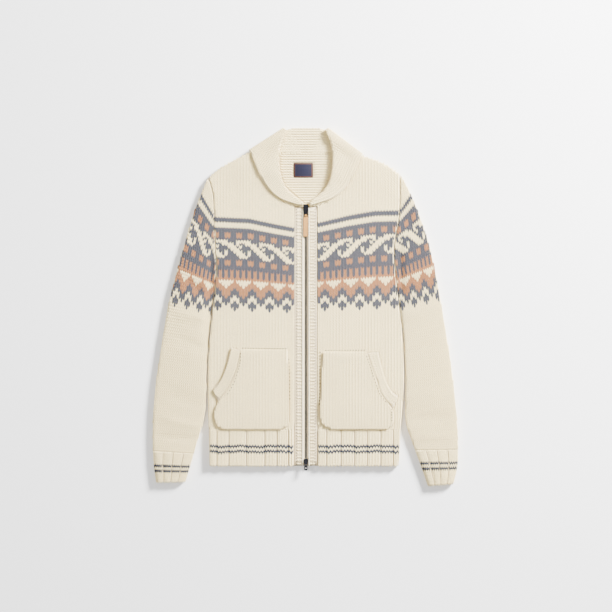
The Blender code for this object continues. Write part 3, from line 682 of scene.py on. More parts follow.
@dataclass
class Wall:
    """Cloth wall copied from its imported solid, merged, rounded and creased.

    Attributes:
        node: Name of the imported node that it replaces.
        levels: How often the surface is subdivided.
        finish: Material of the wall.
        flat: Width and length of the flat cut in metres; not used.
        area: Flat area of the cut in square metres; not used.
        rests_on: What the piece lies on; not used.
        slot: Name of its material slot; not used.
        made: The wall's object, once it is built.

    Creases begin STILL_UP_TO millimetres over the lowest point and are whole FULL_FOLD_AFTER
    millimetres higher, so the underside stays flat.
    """

    node: str
    levels: int
    finish: bpy.types.Material
    flat: tuple[float, float]
    area: float
    rests_on: tuple[str, ...]
    slot: str
    made: bpy.types.Object | None = None
    SAME_POINT = 2e-6
    FLAT_ANGLE = 0.35
    QUAD_SHAPE = 1.2
    SHARP_ANGLE = 52
    SHARPNESS = 0.85
    STILL_UP_TO = 1.0
    FULL_FOLD_AFTER = 5.0

    def build(self, solid: bpy.types.Object) -> bpy.types.Object:
        """Builds the wall from a copy of the solid's mesh.

        Args:
            solid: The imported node's object.

        Returns:
            The wall's object.
        """
        bm = bmesh.new()
        bm.from_mesh(solid.data)
        bmesh.ops.remove_doubles(bm, verts=bm.verts, dist=self.SAME_POINT)
        bmesh.ops.join_triangles(
            bm, faces=bm.faces, angle_face_threshold=self.FLAT_ANGLE, angle_shape_threshold=self.QUAD_SHAPE
        )
        crease = bm.edges.layers.float.new("crease_edge")
        for edge in bm.edges:
            if len(edge.link_faces) == 2 and edge.calc_face_angle(0.0) > math.radians(self.SHARP_ANGLE):
                edge[crease] = self.SHARPNESS
        mesh = bpy.data.meshes.new(self.node)
        bm.to_mesh(mesh)
        bm.free()
        rough = linked(self.node, mesh)
        rounding = rough.modifiers.new("rounding", "SUBSURF")
        rounding.levels = self.levels
        rounding.render_levels = self.levels
        self.made = made_plain(rough, self.node + "_wall")
        self._fold()
        self.made.data.shade_smooth()
        self.made.data.materials.clear()
        self.made.data.materials.append(self.finish)
        LOG.info("%s: wall of %d faces", self.node, len(self.made.data.polygons))
        return self.made

    def _fold(self) -> None:
        """Moves the wall's points for the creases that cross it, leaving its underside flat."""
        creases = CREASES.get(self.node, ())
        floor = min(point.co.z for point in self.made.data.vertices)
        for point in self.made.data.vertices:
            x, y, z = (c / MM for c in point.co)
            share = smooth_step((z - floor / MM - self.STILL_UP_TO) / self.FULL_FOLD_AFTER)
            point.co.z += sum(c.at(x, y) for c in creases) * share * MM

    def declare(self, loops: Sequence[bpy.types.Object]) -> None:
        """Parents the wall to the garment and hides the solid that it replaces.

        Args:
            loops: Not used.
        """
        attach(self.made, "garment")
        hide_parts(self.node)


@dataclass
class Surface:
    """Everything that a stitch can lie on, for dropping plan points onto a piece.

    Attributes:
        names: Names of the pieces, in the order in which they were added.
        starts: Number of each piece's first face.
        points: Points of all pieces in metres.
        faces: Faces of all pieces.
        tree: Search tree of the faces, once all are in.

    STEEPEST_ABOVE and STEEPEST_BELOW are the least upright share of a normal that a loop is set
    on, and from below only faces up to LYING_UP_TO millimetres high take one.
    """

    names: list[str] = field(default_factory=list)
    starts: list[int] = field(default_factory=list)
    points: list[Vector] = field(default_factory=list)
    faces: list[list[int]] = field(default_factory=list)
    tree: BVHTree | None = None
    START = 80.0
    STEEPEST_ABOVE = 0.22
    STEEPEST_BELOW = 0.975
    LYING_UP_TO = 0.9

    def add(self, name: str, piece: bpy.types.Object) -> None:
        """Adds a piece's faces under a name.

        Args:
            name: Name of the piece.
            piece: Its object.
        """
        base = len(self.points)
        self.names.append(name)
        self.starts.append(len(self.faces))
        self.points += [v.co.copy() for v in piece.data.vertices]
        self.faces += [[base + i for i in f.vertices] for f in piece.data.polygons]

    def close(self) -> None:
        """Builds the search tree once all pieces are in."""
        self.tree = BVHTree.FromPolygons(self.points, self.faces)

    def drop(self, name: str, x: float, y: float, below: bool = False) -> tuple[Vector, Vector] | None:
        """Finds the open face of a piece at a plan point, from above or from below.

        Args:
            name: Piece that has to be the first one met.
            x: Plan x in millimetres.
            y: Plan y in millimetres.
            below: Looks from below.

        Returns:
            Point and normal in metres, or None where the piece is covered or absent.
        """
        way = 1.0 if below else -1.0
        start = Vector((x * MM, y * MM, -self.START * MM * way))
        place, normal, index, _ = self.tree.ray_cast(start, Vector((0, 0, way)))
        if place is None or -normal.z * way < (self.STEEPEST_BELOW if below else self.STEEPEST_ABOVE):
            return None
        if below and place.z > self.LYING_UP_TO * MM:
            return None
        met = self.names[int(np.searchsorted(self.starts, index, side="right")) - 1]
        return (place, normal) if met == name else None


@dataclass
class StitchPlan:
    """Places of the loops on one piece.

    Attributes:
        node: Piece that the loops lie on.
        rows: For each loop its plan x and y, direction, width, height and yarn.
    """

    node: str
    rows: list[tuple[float, float, float, float, float, float, Colour]] = field(default_factory=list)

    def put(self, place: Plan, up: Plan, width: float, height: float, yarn: Yarn) -> None:
        """Adds one loop.

        Args:
            place: Plan point of its middle.
            up: Plan direction from the loop's point to its open end.
            width: Width in millimetres.
            height: Height in millimetres.
            yarn: Its yarn.
        """
        size = math.hypot(*up)
        self.rows.append((*place, up[0] / size, up[1] / size, width, height, yarn.value))


class LoopForms:
    """Low meshes of one loop each, one wale wide and one course high before they are scaled.

    LOW, HIGH and REACH are the ends of a V's backing at its middle and its half width.
    """

    SIDES = 4
    LOW, HIGH, REACH = -0.68, 0.36, 0.54
    BACKING_SLOPE, BACKING_Z = 1.22, 0.05
    PRESSED_SLOPE = 0.66

    def __init__(self) -> None:
        """Builds the forms once."""
        self.forms = {
            Loop.KNIT: self._knit(),
            Loop.PRESSED: self._pressed(),
            Loop.PURL: self._purl(),
            Loop.TOOTH: self._tooth(),
            Loop.SEWN: self._sewn(),
        }

    def _strand(self, spine: Sequence[tuple[float, float, float, float, float]]) -> tuple[list, list, list]:
        """Skins one strand with pointed ends.

        Args:
            spine: Stations of x, y, z, half width and half height, the first and last being the tips.

        Returns:
            Points, faces and the UV of each point.
        """
        points, faces, chart = [], [], []
        first, last = spine[0], spine[-1]
        points.append(first[:3])
        chart.append((0.5, 0.0))
        middle = spine[1:-1]
        for k, (x, y, z, wide, high) in enumerate(middle):
            before, after = spine[k], spine[k + 2]
            run = (after[0] - before[0], after[1] - before[1])
            size = math.hypot(*run) or 1.0
            side = (-run[1] / size, run[0] / size)
            for j in range(self.SIDES):
                turn = math.tau * j / self.SIDES
                out = wide * math.cos(turn)
                points.append((x + side[0] * out, y + side[1] * out, z + high * math.sin(turn)))
                chart.append((j / self.SIDES, (k + 1) / (len(spine) - 1)))
        points.append(last[:3])
        chart.append((0.5, 1.0))
        end = len(points) - 1
        for j in range(self.SIDES):
            after = (j + 1) % self.SIDES
            faces.append((0, 1 + after, 1 + j))
            for k in range(len(middle) - 1):
                a, b = 1 + k * self.SIDES, 1 + (k + 1) * self.SIDES
                faces.append((a + j, a + after, b + after, b + j))
            top = 1 + (len(middle) - 1) * self.SIDES
            faces.append((top + j, top + after, end))
        return points, faces, chart

    def _form(self, kind: Loop, strands: Iterable[tuple[list, list, list]]) -> bpy.types.Object:
        """Joins strands into one object with a UV map named loop.

        Args:
            kind: Which form it is.
            strands: Points, faces and chart of each strand.

        Returns:
            The form's object.
        """
        points: list = []
        faces: list = []
        chart: list = []
        for some_points, some_faces, some_chart in strands:
            base = len(points)
            points += some_points
            chart += some_chart
            faces += [tuple(base + i for i in f) for f in some_faces]
        form = mesh_object(kind.value, points, faces, unit=1.0)
        bm = bmesh.new()
        bm.from_mesh(form.data)
        bmesh.ops.recalc_face_normals(bm, faces=bm.faces)
        bm.to_mesh(form.data)
        bm.free()
        layer = form.data.uv_layers.new(name="loop")
        for corner in form.data.loops:
            layer.data[corner.index].uv = chart[corner.vertex_index]
        form.data.shade_smooth()
        return form

    def _knit(self) -> bpy.types.Object:
        """Makes the V of one knit stitch, whose legs nest in the V below, on a chevron of its own yarn.

        Returns:
            The form's object.
        """
        strands = []
        for side in (-1, 1):
            strands.append(self._strand([
                (side * 0.02, -0.98, -0.20, 0.0, 0.0),
                (side * 0.10, -0.55, 0.16, 0.160, 0.24),
                (side * 0.25, 0.00, 0.30, 0.200, 0.28),
                (side * 0.39, 0.55, 0.20, 0.165, 0.24),
                (side * 0.46, 1.00, -0.20, 0.0, 0.0),
            ]))
        rise = self.BACKING_SLOPE * 0.5
        low_row = [(-self.REACH, self.LOW + rise), (0.0, self.LOW), (self.REACH, self.LOW + rise)]
        high_row = [(self.REACH, self.HIGH + rise), (0.0, self.HIGH), (-self.REACH, self.HIGH + rise)]
        points = [(x, y, self.BACKING_Z) for x, y in low_row + high_row]
        chart = [(0, 0), (0.5, 0), (1, 0), (1, 1), (0.5, 1), (0, 1)]
        backing = (points, [(0, 1, 4, 5), (1, 2, 3, 4)], chart)
        return self._form(Loop.KNIT, [*strands, backing])

    def _pressed(self) -> bpy.types.Object:
        """Makes the V of a stitch that the garment's own weight presses flat, as two low ridges.

        Returns:
            The form's object.
        """
        points, faces, chart = [], [], []
        ridge = ((self.LOW, 0.0), ((self.LOW + self.HIGH) / 2, 1.0), (self.HIGH, 0.0))
        for side in (-1, 1):
            base = len(points)
            for x, rise in ((0.0, 0.0), (side * self.REACH, self.PRESSED_SLOPE)):
                for y, z in ridge:
                    points.append((x, y + rise, z))
                    chart.append((abs(x), (y - self.LOW) / (self.HIGH - self.LOW)))
            faces += [(base, base + 3, base + 4, base + 1), (base + 1, base + 4, base + 5, base + 2)]
        return self._form(Loop.PRESSED, [(points, faces, chart)])

    def _purl(self) -> bpy.types.Object:
        """Makes the bump of one purl stitch, a short arch that lies across the wale.

        Returns:
            The form's object.
        """
        arch = self._strand([
            (-0.56, -0.22, -0.2, 0.0, 0.0), (-0.3, 0.04, 0.2, 0.2, 0.26), (0.0, 0.14, 0.3, 0.24, 0.3),
            (0.3, 0.04, 0.2, 0.2, 0.26), (0.56, -0.22, -0.2, 0.0, 0.0),
        ])
        return self._form(Loop.PURL, [arch])

    def _tooth(self) -> bpy.types.Object:
        """Makes one zip tooth: a head with a waist, its root to the side.

        Returns:
            The form's object.
        """
        outline = [(-0.5, -0.30), (0.12, -0.24), (0.28, -0.42), (0.5, -0.30), (0.5, 0.30), (0.28, 0.42),
                   (0.12, 0.24), (-0.5, 0.30)]
        count = len(outline)
        points = [(x, y, 0.0) for x, y in outline] + [(x * 0.9, y * 0.8, 1.0) for x, y in outline]
        faces = [tuple(range(count))[::-1], tuple(range(count, 2 * count))]
        faces += [(j, (j + 1) % count, count + (j + 1) % count, count + j) for j in range(count)]
        return self._form(Loop.TOOTH, [(points, faces, [(0.5, 0.5)] * (2 * count))])

    def _sewn(self) -> bpy.types.Object:
        """Makes one short sewn stitch.

        Returns:
            The form's object.
        """
        return self._form(Loop.SEWN, [self._strand([
            (0.0, -0.5, -0.1, 0.0, 0.0), (0.0, -0.34, 0.3, 0.42, 0.4), (0.0, 0.34, 0.3, 0.42, 0.4),
            (0.0, 0.5, -0.1, 0.0, 0.0),
        ])])

    def clear(self) -> None:
        """Removes the forms once every piece is made."""
        for form in self.forms.values():
            bpy.data.objects.remove(form)


class LoopSetter:
    """Sets loops on the walls with one Geometry Nodes tree.

    THICKNESS scales each form's height, in millimetres. EDGE_TEST is how far out, in widths, a loop
    has to find its piece; one that finds it on one side only becomes HALF as wide.
    """

    THICKNESS = {Loop.KNIT: 4.0, Loop.PRESSED: 0.35, Loop.PURL: 4.0, Loop.SEWN: 1.2}
    SPREAD = 0.05
    SEED = 7
    TURN_SEED_STEP = 11
    EDGE_TEST = 0.46
    HALF = 0.5

    def __init__(self, forms: LoopForms) -> None:
        """Builds the tree.

        Args:
            forms: The loop forms that are instanced.
        """
        self.forms = forms
        self.tree = self._tree()
        self.sockets = {
            item.name: item.identifier for item in self.tree.interface.items_tree if item.in_out == "INPUT"
        }

    @classmethod
    def _tree(cls) -> bpy.types.NodeTree:
        """Builds the tree: a loop on each point, turned and sized by the point's attributes.

        Returns:
            The Geometry Nodes tree.
        """
        tree = bpy.data.node_groups.new("set_loops", "GeometryNodeTree")
        tree.is_modifier = True
        tree.interface.new_socket(name="Places", in_out="INPUT", socket_type="NodeSocketGeometry")
        tree.interface.new_socket(name="Loop Form", in_out="INPUT", socket_type="NodeSocketObject")
        tree.interface.new_socket(name="Finish", in_out="INPUT", socket_type="NodeSocketMaterial")
        for label in ("Size Spread", "Turn Spread"):
            socket = tree.interface.new_socket(name=label, in_out="INPUT", socket_type="NodeSocketFloat")
            socket.default_value = cls.SPREAD
        seed = tree.interface.new_socket(name="Seed", in_out="INPUT", socket_type="NodeSocketInt")
        seed.default_value = cls.SEED
        tree.interface.new_socket(name="Knit", in_out="OUTPUT", socket_type="NodeSocketGeometry")
        canvas = NodeCanvas(tree)
        start, end = canvas.add("NodeGroupInput"), canvas.add("NodeGroupOutput")
        form = canvas.add("GeometryNodeObjectInfo")
        canvas.link(start.outputs["Loop Form"], form.inputs["Object"])
        facing, size = (
            canvas.add("GeometryNodeInputNamedAttribute", data_type="FLOAT_VECTOR") for _ in range(2)
        )
        facing.inputs["Name"].default_value = "facing"
        size.inputs["Name"].default_value = "loop_size"
        spread = canvas.add("FunctionNodeRandomValue", data_type="FLOAT")
        canvas.link(start.outputs["Seed"], spread.inputs["Seed"])
        canvas.link(canvas.math("SUBTRACT", 1.0, start.outputs["Size Spread"]), spread.inputs[2])
        canvas.link(canvas.math("ADD", 1.0, start.outputs["Size Spread"]), spread.inputs[3])
        sized = canvas.add("ShaderNodeVectorMath", operation="SCALE")
        canvas.link(size.outputs["Attribute"], sized.inputs[0])
        canvas.link(spread.outputs[1], sized.inputs["Scale"])
        twist = canvas.add("FunctionNodeRandomValue", data_type="FLOAT")
        canvas.link(canvas.math("ADD", start.outputs["Seed"], cls.TURN_SEED_STEP), twist.inputs["Seed"])
        canvas.link(canvas.math("MULTIPLY", start.outputs["Turn Spread"], -1.0), twist.inputs[2])
        canvas.link(start.outputs["Turn Spread"], twist.inputs[3])
        turn = canvas.add("ShaderNodeCombineXYZ")
        canvas.link(twist.outputs[1], turn.inputs["Z"])
        base = canvas.add("FunctionNodeEulerToRotation")
        canvas.link(facing.outputs["Attribute"], base.inputs[0])
        own = canvas.add("FunctionNodeEulerToRotation")
        canvas.link(turn.outputs[0], own.inputs[0])
        both = canvas.add("FunctionNodeRotateRotation", rotation_space="LOCAL")
        canvas.link(base.outputs[0], both.inputs[0])
        canvas.link(own.outputs[0], both.inputs[1])
        placed = canvas.add("GeometryNodeInstanceOnPoints")
        canvas.link(start.outputs["Places"], placed.inputs["Points"])
        canvas.link(form.outputs["Geometry"], placed.inputs["Instance"])
        canvas.link(both.outputs[0], placed.inputs["Rotation"])
        canvas.link(sized.outputs[0], placed.inputs["Scale"])
        real = canvas.add("GeometryNodeRealizeInstances")
        canvas.link(placed.outputs[0], real.inputs[0])
        dressed = canvas.add("GeometryNodeSetMaterial")
        canvas.link(real.outputs[0], dressed.inputs["Geometry"])
        canvas.link(start.outputs["Finish"], dressed.inputs["Material"])
        canvas.link(dressed.outputs[0], end.inputs[0])
        return tree

    def lay(self, name: str, kind: Loop, places: Sequence[tuple[Vector, Vector, Vector, Vector, Colour]],
            finish: bpy.types.Material, spread: float = SPREAD) -> bpy.types.Object:
        """Sets one form on each place and makes the result a plain mesh.

        Args:
            name: Name of the piece.
            kind: Which form is set.
            places: Point, normal, up direction, size and colour of each loop.
            finish: Material of the piece.
            spread: Random spread of the sizes, and of the turns in radians.

        Returns:
            The finished piece.
        """
        mesh = bpy.data.meshes.new(name)
        mesh.from_pydata([p[0] for p in places], [], [])
        turns, sizes, dyes = [], [], []
        for _, normal, up, form_size, dye in places:
            across = up.cross(normal).normalized()
            true_up = normal.cross(across).normalized()
            turns += Matrix((across, true_up, normal)).transposed().to_euler("XYZ")[:]
            sizes += form_size[:]
            dyes += (*dye, 1.0)
        for label, data_type, part, values in (
            ("facing", "FLOAT_VECTOR", "vector", turns),
            ("loop_size", "FLOAT_VECTOR", "vector", sizes),
            ("yarn", "FLOAT_COLOR", "color", dyes),
        ):
            layer = mesh.attributes.new(label, data_type, "POINT")
            layer.data.foreach_set(part, values)
        holder = linked(name + "_places", mesh)
        setter = holder.modifiers.new("loops", "NODES")
        setter.node_group = self.tree
        setter[self.sockets["Loop Form"]] = self.forms.forms[kind]
        setter[self.sockets["Finish"]] = finish
        setter[self.sockets["Size Spread"]] = spread
        setter[self.sockets["Turn Spread"]] = spread
        made = made_plain(holder, name)
        for spare in ("facing", "loop_size"):
            if spare in made.data.attributes:
                made.data.attributes.remove(made.data.attributes[spare])
        return made

    def knit(self, name: str, kind: Loop, plan: StitchPlan, surface: Surface,
             finish: bpy.types.Material, lift: float = 0.0) -> bpy.types.Object:
        """Drops a plan of loops on its piece, with half stitches along its edges.

        Args:
            name: Name of the new piece.
            kind: Which form is set; pressed loops go on the underside.
            plan: The loops and their yarns.
            surface: The walls that they drop on.
            finish: Material of the loops.
            lift: Height above the wall in millimetres.

        Returns:
            The finished piece.
        """
        places = []
        thick = self.THICKNESS[kind] * MM
        below = kind is Loop.PRESSED
        for x, y, up_x, up_y, width, height, dye in plan.rows:
            met = surface.drop(plan.node, x, y, below)
            if met is None:
                continue
            aside = Vector((up_y, -up_x)).normalized() * (width * self.EDGE_TEST)
            held = [
                surface.drop(plan.node, x + k * aside.x, y + k * aside.y, below) is not None for k in (-1, 1)
            ]
            if not all(held):
                if not any(held) or kind in (Loop.PURL, Loop.SEWN):
                    continue
                inward = self.HALF if held[1] else -self.HALF
                met = surface.drop(plan.node, x + inward * aside.x, y + inward * aside.y, below)
                if met is None:
                    continue
                width *= self.HALF
            place, normal = met
            up = Vector((up_x, up_y, 0.0))
            up = (up - normal * up.dot(normal)).normalized()
            size = Vector((width * MM, height * MM, thick))
            places.append((place + normal * lift * MM, normal, up, size, dye))
        LOG.info("%s: %d loops", name, len(places))
        return self.lay(name, kind, places, finish)


class YokeChart:
    """Chart of the yoke's bands, row by row from the top, by stitch across.

    CREAM_END, TAN_END and GREY_END are the rows where each yarn of the triangles ends, by the
    stitches from the triangle's middle. DIAMOND says from which of them a row's diamond is grey.
    """

    SCROLL = (
        "xxxxx...",
        "x..xxxx.",
        ".x...xxx",
        "x.....xx",
        "xx..x..x",
        "xxx.x...",
        ".xxx....",
    )
    CREAM_ROWS = (2, 3)
    SQUARE_ROWS = (6, 7, 17, 18)
    SCROLL_TOP = 9
    BAR_ROWS = (21, 22, 23)
    TRIANGLE_TOP = 25
    LAST_ROW = 36
    SQUARE_REPEAT, BAR_REPEAT, TRIANGLE_REPEAT = 4, 2, 6
    CREAM_END = (3, 2, 1, 0)
    TAN_END = (7, 6, 4, 3)
    GREY_END = (10, 9, 7, 6)
    DIAMOND = {8: 3, 9: 2, 10: 2, 11: 3}

    def yarn(self, row: int, stitch: int) -> Yarn:
        """Finds the yarn of one stitch.

        Args:
            row: Row from the top of the first grey band, downwards.
            stitch: Stitch counted outwards.

        Returns:
            The yarn.
        """
        if not 0 <= row <= self.LAST_ROW or row in self.CREAM_ROWS:
            return Yarn.CREAM
        if row in self.SQUARE_ROWS:
            return Yarn.TAN if stitch % self.SQUARE_REPEAT < 2 else Yarn.GREY
        if self.SCROLL_TOP <= row < self.SCROLL_TOP + len(self.SCROLL):
            marks = self.SCROLL[row - self.SCROLL_TOP]
            return Yarn.CREAM if marks[(1 - stitch) % len(marks)] == "x" else Yarn.GREY
        if row in self.BAR_ROWS:
            return Yarn.TAN if stitch % self.BAR_REPEAT else Yarn.GREY
        if row < self.TRIANGLE_TOP:
            return Yarn.TAN if row == self.TRIANGLE_TOP - 1 else Yarn.GREY
        away = abs(stitch % self.TRIANGLE_REPEAT - self.TRIANGLE_REPEAT // 2)
        return self._zigzag(row - self.TRIANGLE_TOP, away)

    def _zigzag(self, row: int, away: int) -> Yarn:
        """Finds the yarn in the triangles, zigzags and diamonds at the bottom of the yoke.

        Args:
            row: Row from the triangles' top.
            away: Stitches from the middle of the triangle, 0 to 3.

        Returns:
            The yarn.
        """
        if row < self.CREAM_END[away]:
            return Yarn.CREAM
        if row < self.TAN_END[away]:
            return Yarn.TAN
        if row < self.GREY_END[away] or away >= self.DIAMOND.get(row, math.inf):
            return Yarn.GREY
        return Yarn.CREAM


@dataclass(frozen=True)
class Station:
    """One row of stitches across a piece.

    Attributes:
        row: Number of the row.
        inner: Plan point of the row's inner end.
        outer: Plan point of its outer end.
    """

    row: float
    inner: Plan
    outer: Plan


@dataclass
class RowLines:
    """Rows that run across a piece between two edges, through stations.

    Attributes:
        stations: Rows whose ends are known, in order.
    """

    stations: Sequence[Station]
    LEAST_SKEW = 0.35  # Limits how far the wales spread where a row runs almost along them.

    def _through(self, values: Sequence[float], row: float) -> float:
        """Reads a smooth line through the stations' values at a row.

        Args:
            values: One value for each station.
            row: Row where the line is read.

        Returns:
            The value there.
        """
        rows = [s.row for s in self.stations]
        last = len(rows) - 1
        i = max(0, min(last - 1, int(np.searchsorted(rows, row, side="right")) - 1))
        span = rows[i + 1] - rows[i]
        t = (row - rows[i]) / span
        slopes = []
        for k in (i, i + 1):
            a, b = max(0, k - 1), min(last, k + 1)
            slopes.append((values[b] - values[a]) / (rows[b] - rows[a]) * span)
        return (
            (2 * t**3 - 3 * t**2 + 1) * values[i] + (t**3 - 2 * t**2 + t) * slopes[0]
            + (3 * t**2 - 2 * t**3) * values[i + 1] + (t**3 - t**2) * slopes[1]
        )

    def ends(self, row: float) -> tuple[Vector, Vector]:
        """Finds both ends of a row.

        Args:
            row: Number of the row.

        Returns:
            Plan vectors of its inner and outer end.
        """
        inner, outer = (
            Vector([self._through([end[axis] for end in ends], row) for axis in (0, 1)])
            for ends in ([s.inner for s in self.stations], [s.outer for s in self.stations])
        )
        return inner, outer

    def fill(self, plan: StitchPlan, yarn_of: Callable[[int, int], Yarn], rows: range,
             wale: float, reach: int, anchor: float = 0.5) -> None:
        """Adds stitches along every row, a wale apart across the way the wales run.

        Args:
            plan: Plan that the stitches go to.
            yarn_of: Gives the yarn of a row and a wale.
            rows: Rows to fill.
            wale: Width of a wale in millimetres.
            reach: Wales on each side of the anchor.
            anchor: Where wale 0 lies, from the inner end to the outer.
        """
        for row in rows:
            inner, outer = self.ends(row)
            middle = inner.lerp(outer, anchor)
            before, after = (a.lerp(b, anchor) for a, b in (self.ends(row - 0.5), self.ends(row + 0.5)))
            down = after - before
            course = down.length
            down.normalize()
            across = (outer - inner).normalized()
            skew = max(self.LEAST_SKEW, abs(across.x * down.y - across.y * down.x))
            for k in range(-reach, reach + 1):
                place = middle + across * (k * wale / skew)
                plan.put((place.x, place.y), (-down.x, -down.y), wale, course, yarn_of(row, k))


def plain_cream(_row: int, _wale: int) -> Yarn:
    """Gives cream for every stitch."""
    return Yarn.CREAM


def stripe_gain(yarn: Yarn) -> float:
    """Gives the height of a rib's stitch in courses: the stripes' yarn is a little thicker."""
    return 1.25 if yarn is Yarn.STRIPE else 1.0


def put_bump(plan: StitchPlan, place: Plan, row: int) -> None:
    """Adds one purl bump, which faces down in even rows and up in odd ones."""
    plan.put(place, (0.0, 1.0 if row % 2 else -1.0), WALE * 1.12, COURSE * 1.2, Yarn.CREAM)


@dataclass
class Front:
    """One front panel's stitches, with the yoke bent as it lies.

    Attributes:
        side: Half of the garment.
        top_line: Distance from the zip and height of the yoke's first row.
        cross_line: The same for the row through the small diamonds' middle.

    CROSS_ROW is the chart's number of that row, and the plain rows run from there to the hem.
    """

    side: Side
    top_line: Sequence[Plan]
    cross_line: Sequence[Plan]
    CROSS_ROW = 34.5
    LAST_ROW = 81
    FIRST_ROW = -27
    FIRST_WALE = 28.9
    CHART_SHIFT = 2
    WALES = 31

    def plan(self, chart: YokeChart) -> StitchPlan:
        """Plans the stitches of the panel.

        Args:
            chart: Chart of the yoke.

        Returns:
            The stitch plan.
        """
        plan = StitchPlan(f"front_{self.side.word}")
        sign = self.side.value
        for k in range(self.WALES):
            away = self.FIRST_WALE + WALE * k
            top = float(np.interp(away, *zip(*self.top_line)))
            cross = float(np.interp(away, *zip(*self.cross_line)))
            yoke = (top - cross) / (self.CROSS_ROW + 0.5)
            plain = (cross - HEM_TOP) / (self.LAST_ROW - self.CROSS_ROW + 0.5)
            for row in range(self.FIRST_ROW, self.LAST_ROW + 1):
                course = yoke if row <= self.CROSS_ROW else plain
                place = (ZIP_X + sign * away, cross + (self.CROSS_ROW - row) * course)
                plan.put(place, (0.0, 1.0), WALE, course, chart.yarn(row, k - self.CHART_SHIFT))
        return plan


FRONTS = (
    Front(Side.LEFT, ((25, 173.0), (69, 181.2), (124, 193.3), (198, 196.6)), ((25, -2.8), (198, 3.9))),
    Front(Side.RIGHT, ((25, 183.6), (95, 200.3), (150, 210.0), (208, 211.3)), ((25, 1.6), (208, 8.3))),
)


@dataclass
class Sleeve:
    """One sleeve's and cuff's stitches.

    Attributes:
        side: Half of the garment.
        rows: Row lines of the sleeve, 0 being the yoke's first row.
        cuff: Row lines of the cuff.
        start: Stitch of the chart at the sleeve's middle.
        turn: 1 where the chart runs outwards, -1 where it runs inwards.

    The RIB values are shares of one rib, and the ROW values shares of one row of the cuff.
    """

    side: Side
    rows: RowLines
    cuff: RowLines
    start: int = 10
    turn: int = 1
    WALE_WIDTH = 4.5
    REACH = 20
    FIRST_ROW = -14
    LAST_ROW = 91
    RIBS = 4
    RIB_WALES = 4
    RIB_START, RIB_STEP, RIB_WALE = 0.17, 0.22, 0.225
    CUFF_ROWS = 13
    ROW_START, ROW_MIDDLE, ROW_END = -0.2, 0.3, 0.8
    STRIPES = (5, 7)

    def plan(self, chart: YokeChart) -> StitchPlan:
        """Plans the sleeve's stitches.

        Args:
            chart: Chart of the yoke.

        Returns:
            The stitch plan.
        """
        plan = StitchPlan(f"sleeve_{self.side.word}")
        self.rows.fill(
            plan, lambda row, k: chart.yarn(row, self.start + self.turn * k),
            range(self.FIRST_ROW, self.LAST_ROW + 1), self.WALE_WIDTH, self.REACH,
        )
        return plan

    def cuff_plan(self) -> StitchPlan:
        """Plans the cuff's stitches, in columns on the ribs.

        Returns:
            The stitch plan.
        """
        plan = StitchPlan(f"cuff_{self.side.word}")
        for row in range(self.CUFF_ROWS):
            inner, outer = self.cuff.ends(row + self.ROW_MIDDLE)
            before, after = self.cuff.ends(row + self.ROW_START), self.cuff.ends(row + self.ROW_END)
            yarn = Yarn.STRIPE if row in self.STRIPES else Yarn.CREAM
            width = (outer - inner).length / self.RIBS * self.RIB_WALE
            rise = (after[0] - before[0]).length * stripe_gain(yarn)
            for rib in range(self.RIBS):
                for k in range(self.RIB_WALES):
                    share = (rib + self.RIB_START + self.RIB_STEP * k) / self.RIBS
                    down = after[0].lerp(after[1], share) - before[0].lerp(before[1], share)
                    plan.put(inner.lerp(outer, share)[:], (-down.x, -down.y), width, rise, yarn)
        return plan


SLEEVES = (
    Sleeve(
        Side.LEFT,
        RowLines([
            Station(-14, (-188, 262), (-215, 302)), Station(0, (-198.1, 193.1), (-229.6, 245.9)),
            Station(16, (-203, 98), (-264, 140)), Station(34.5, (-207.6, -6), (-293.4, 14.9)),
            Station(53, (-212, -118), (-321, -104)), Station(73, (-217, -224), (-334.5, -214)),
            Station(91, (-243.4, -319), (-335.4, -313)),
        ]),
        RowLines([
            Station(0, (-244.6, -324.0), (-335.4, -318.2)), Station(6, (-253.6, -355.0), (-333.2, -353.0)),
            Station(11.6, (-262.1, -383.0), (-328.6, -384.5)),
        ]),
    ),
    Sleeve(
        Side.RIGHT,
        RowLines([
            Station(-14, (201, 276), (216, 306)), Station(0, (209.6, 211.5), (232.2, 244.8)),
            Station(16, (205, 108), (268, 142)), Station(34.5, (210.9, 3.4), (292.9, 25.2)),
            Station(53, (215, -112), (317, -100)), Station(73, (218, -222), (331.4, -214)),
            Station(91, (239.6, -311), (336.2, -310)),
        ]),
        RowLines([
            Station(0, (241.0, -316.5), (336.2, -315.4)), Station(6, (252.5, -348.0), (335.2, -347.0)),
            Station(12.6, (268.1, -391.0), (326.0, -386.5)),
        ]),
        start=3,
        turn=-1,
    ),
)


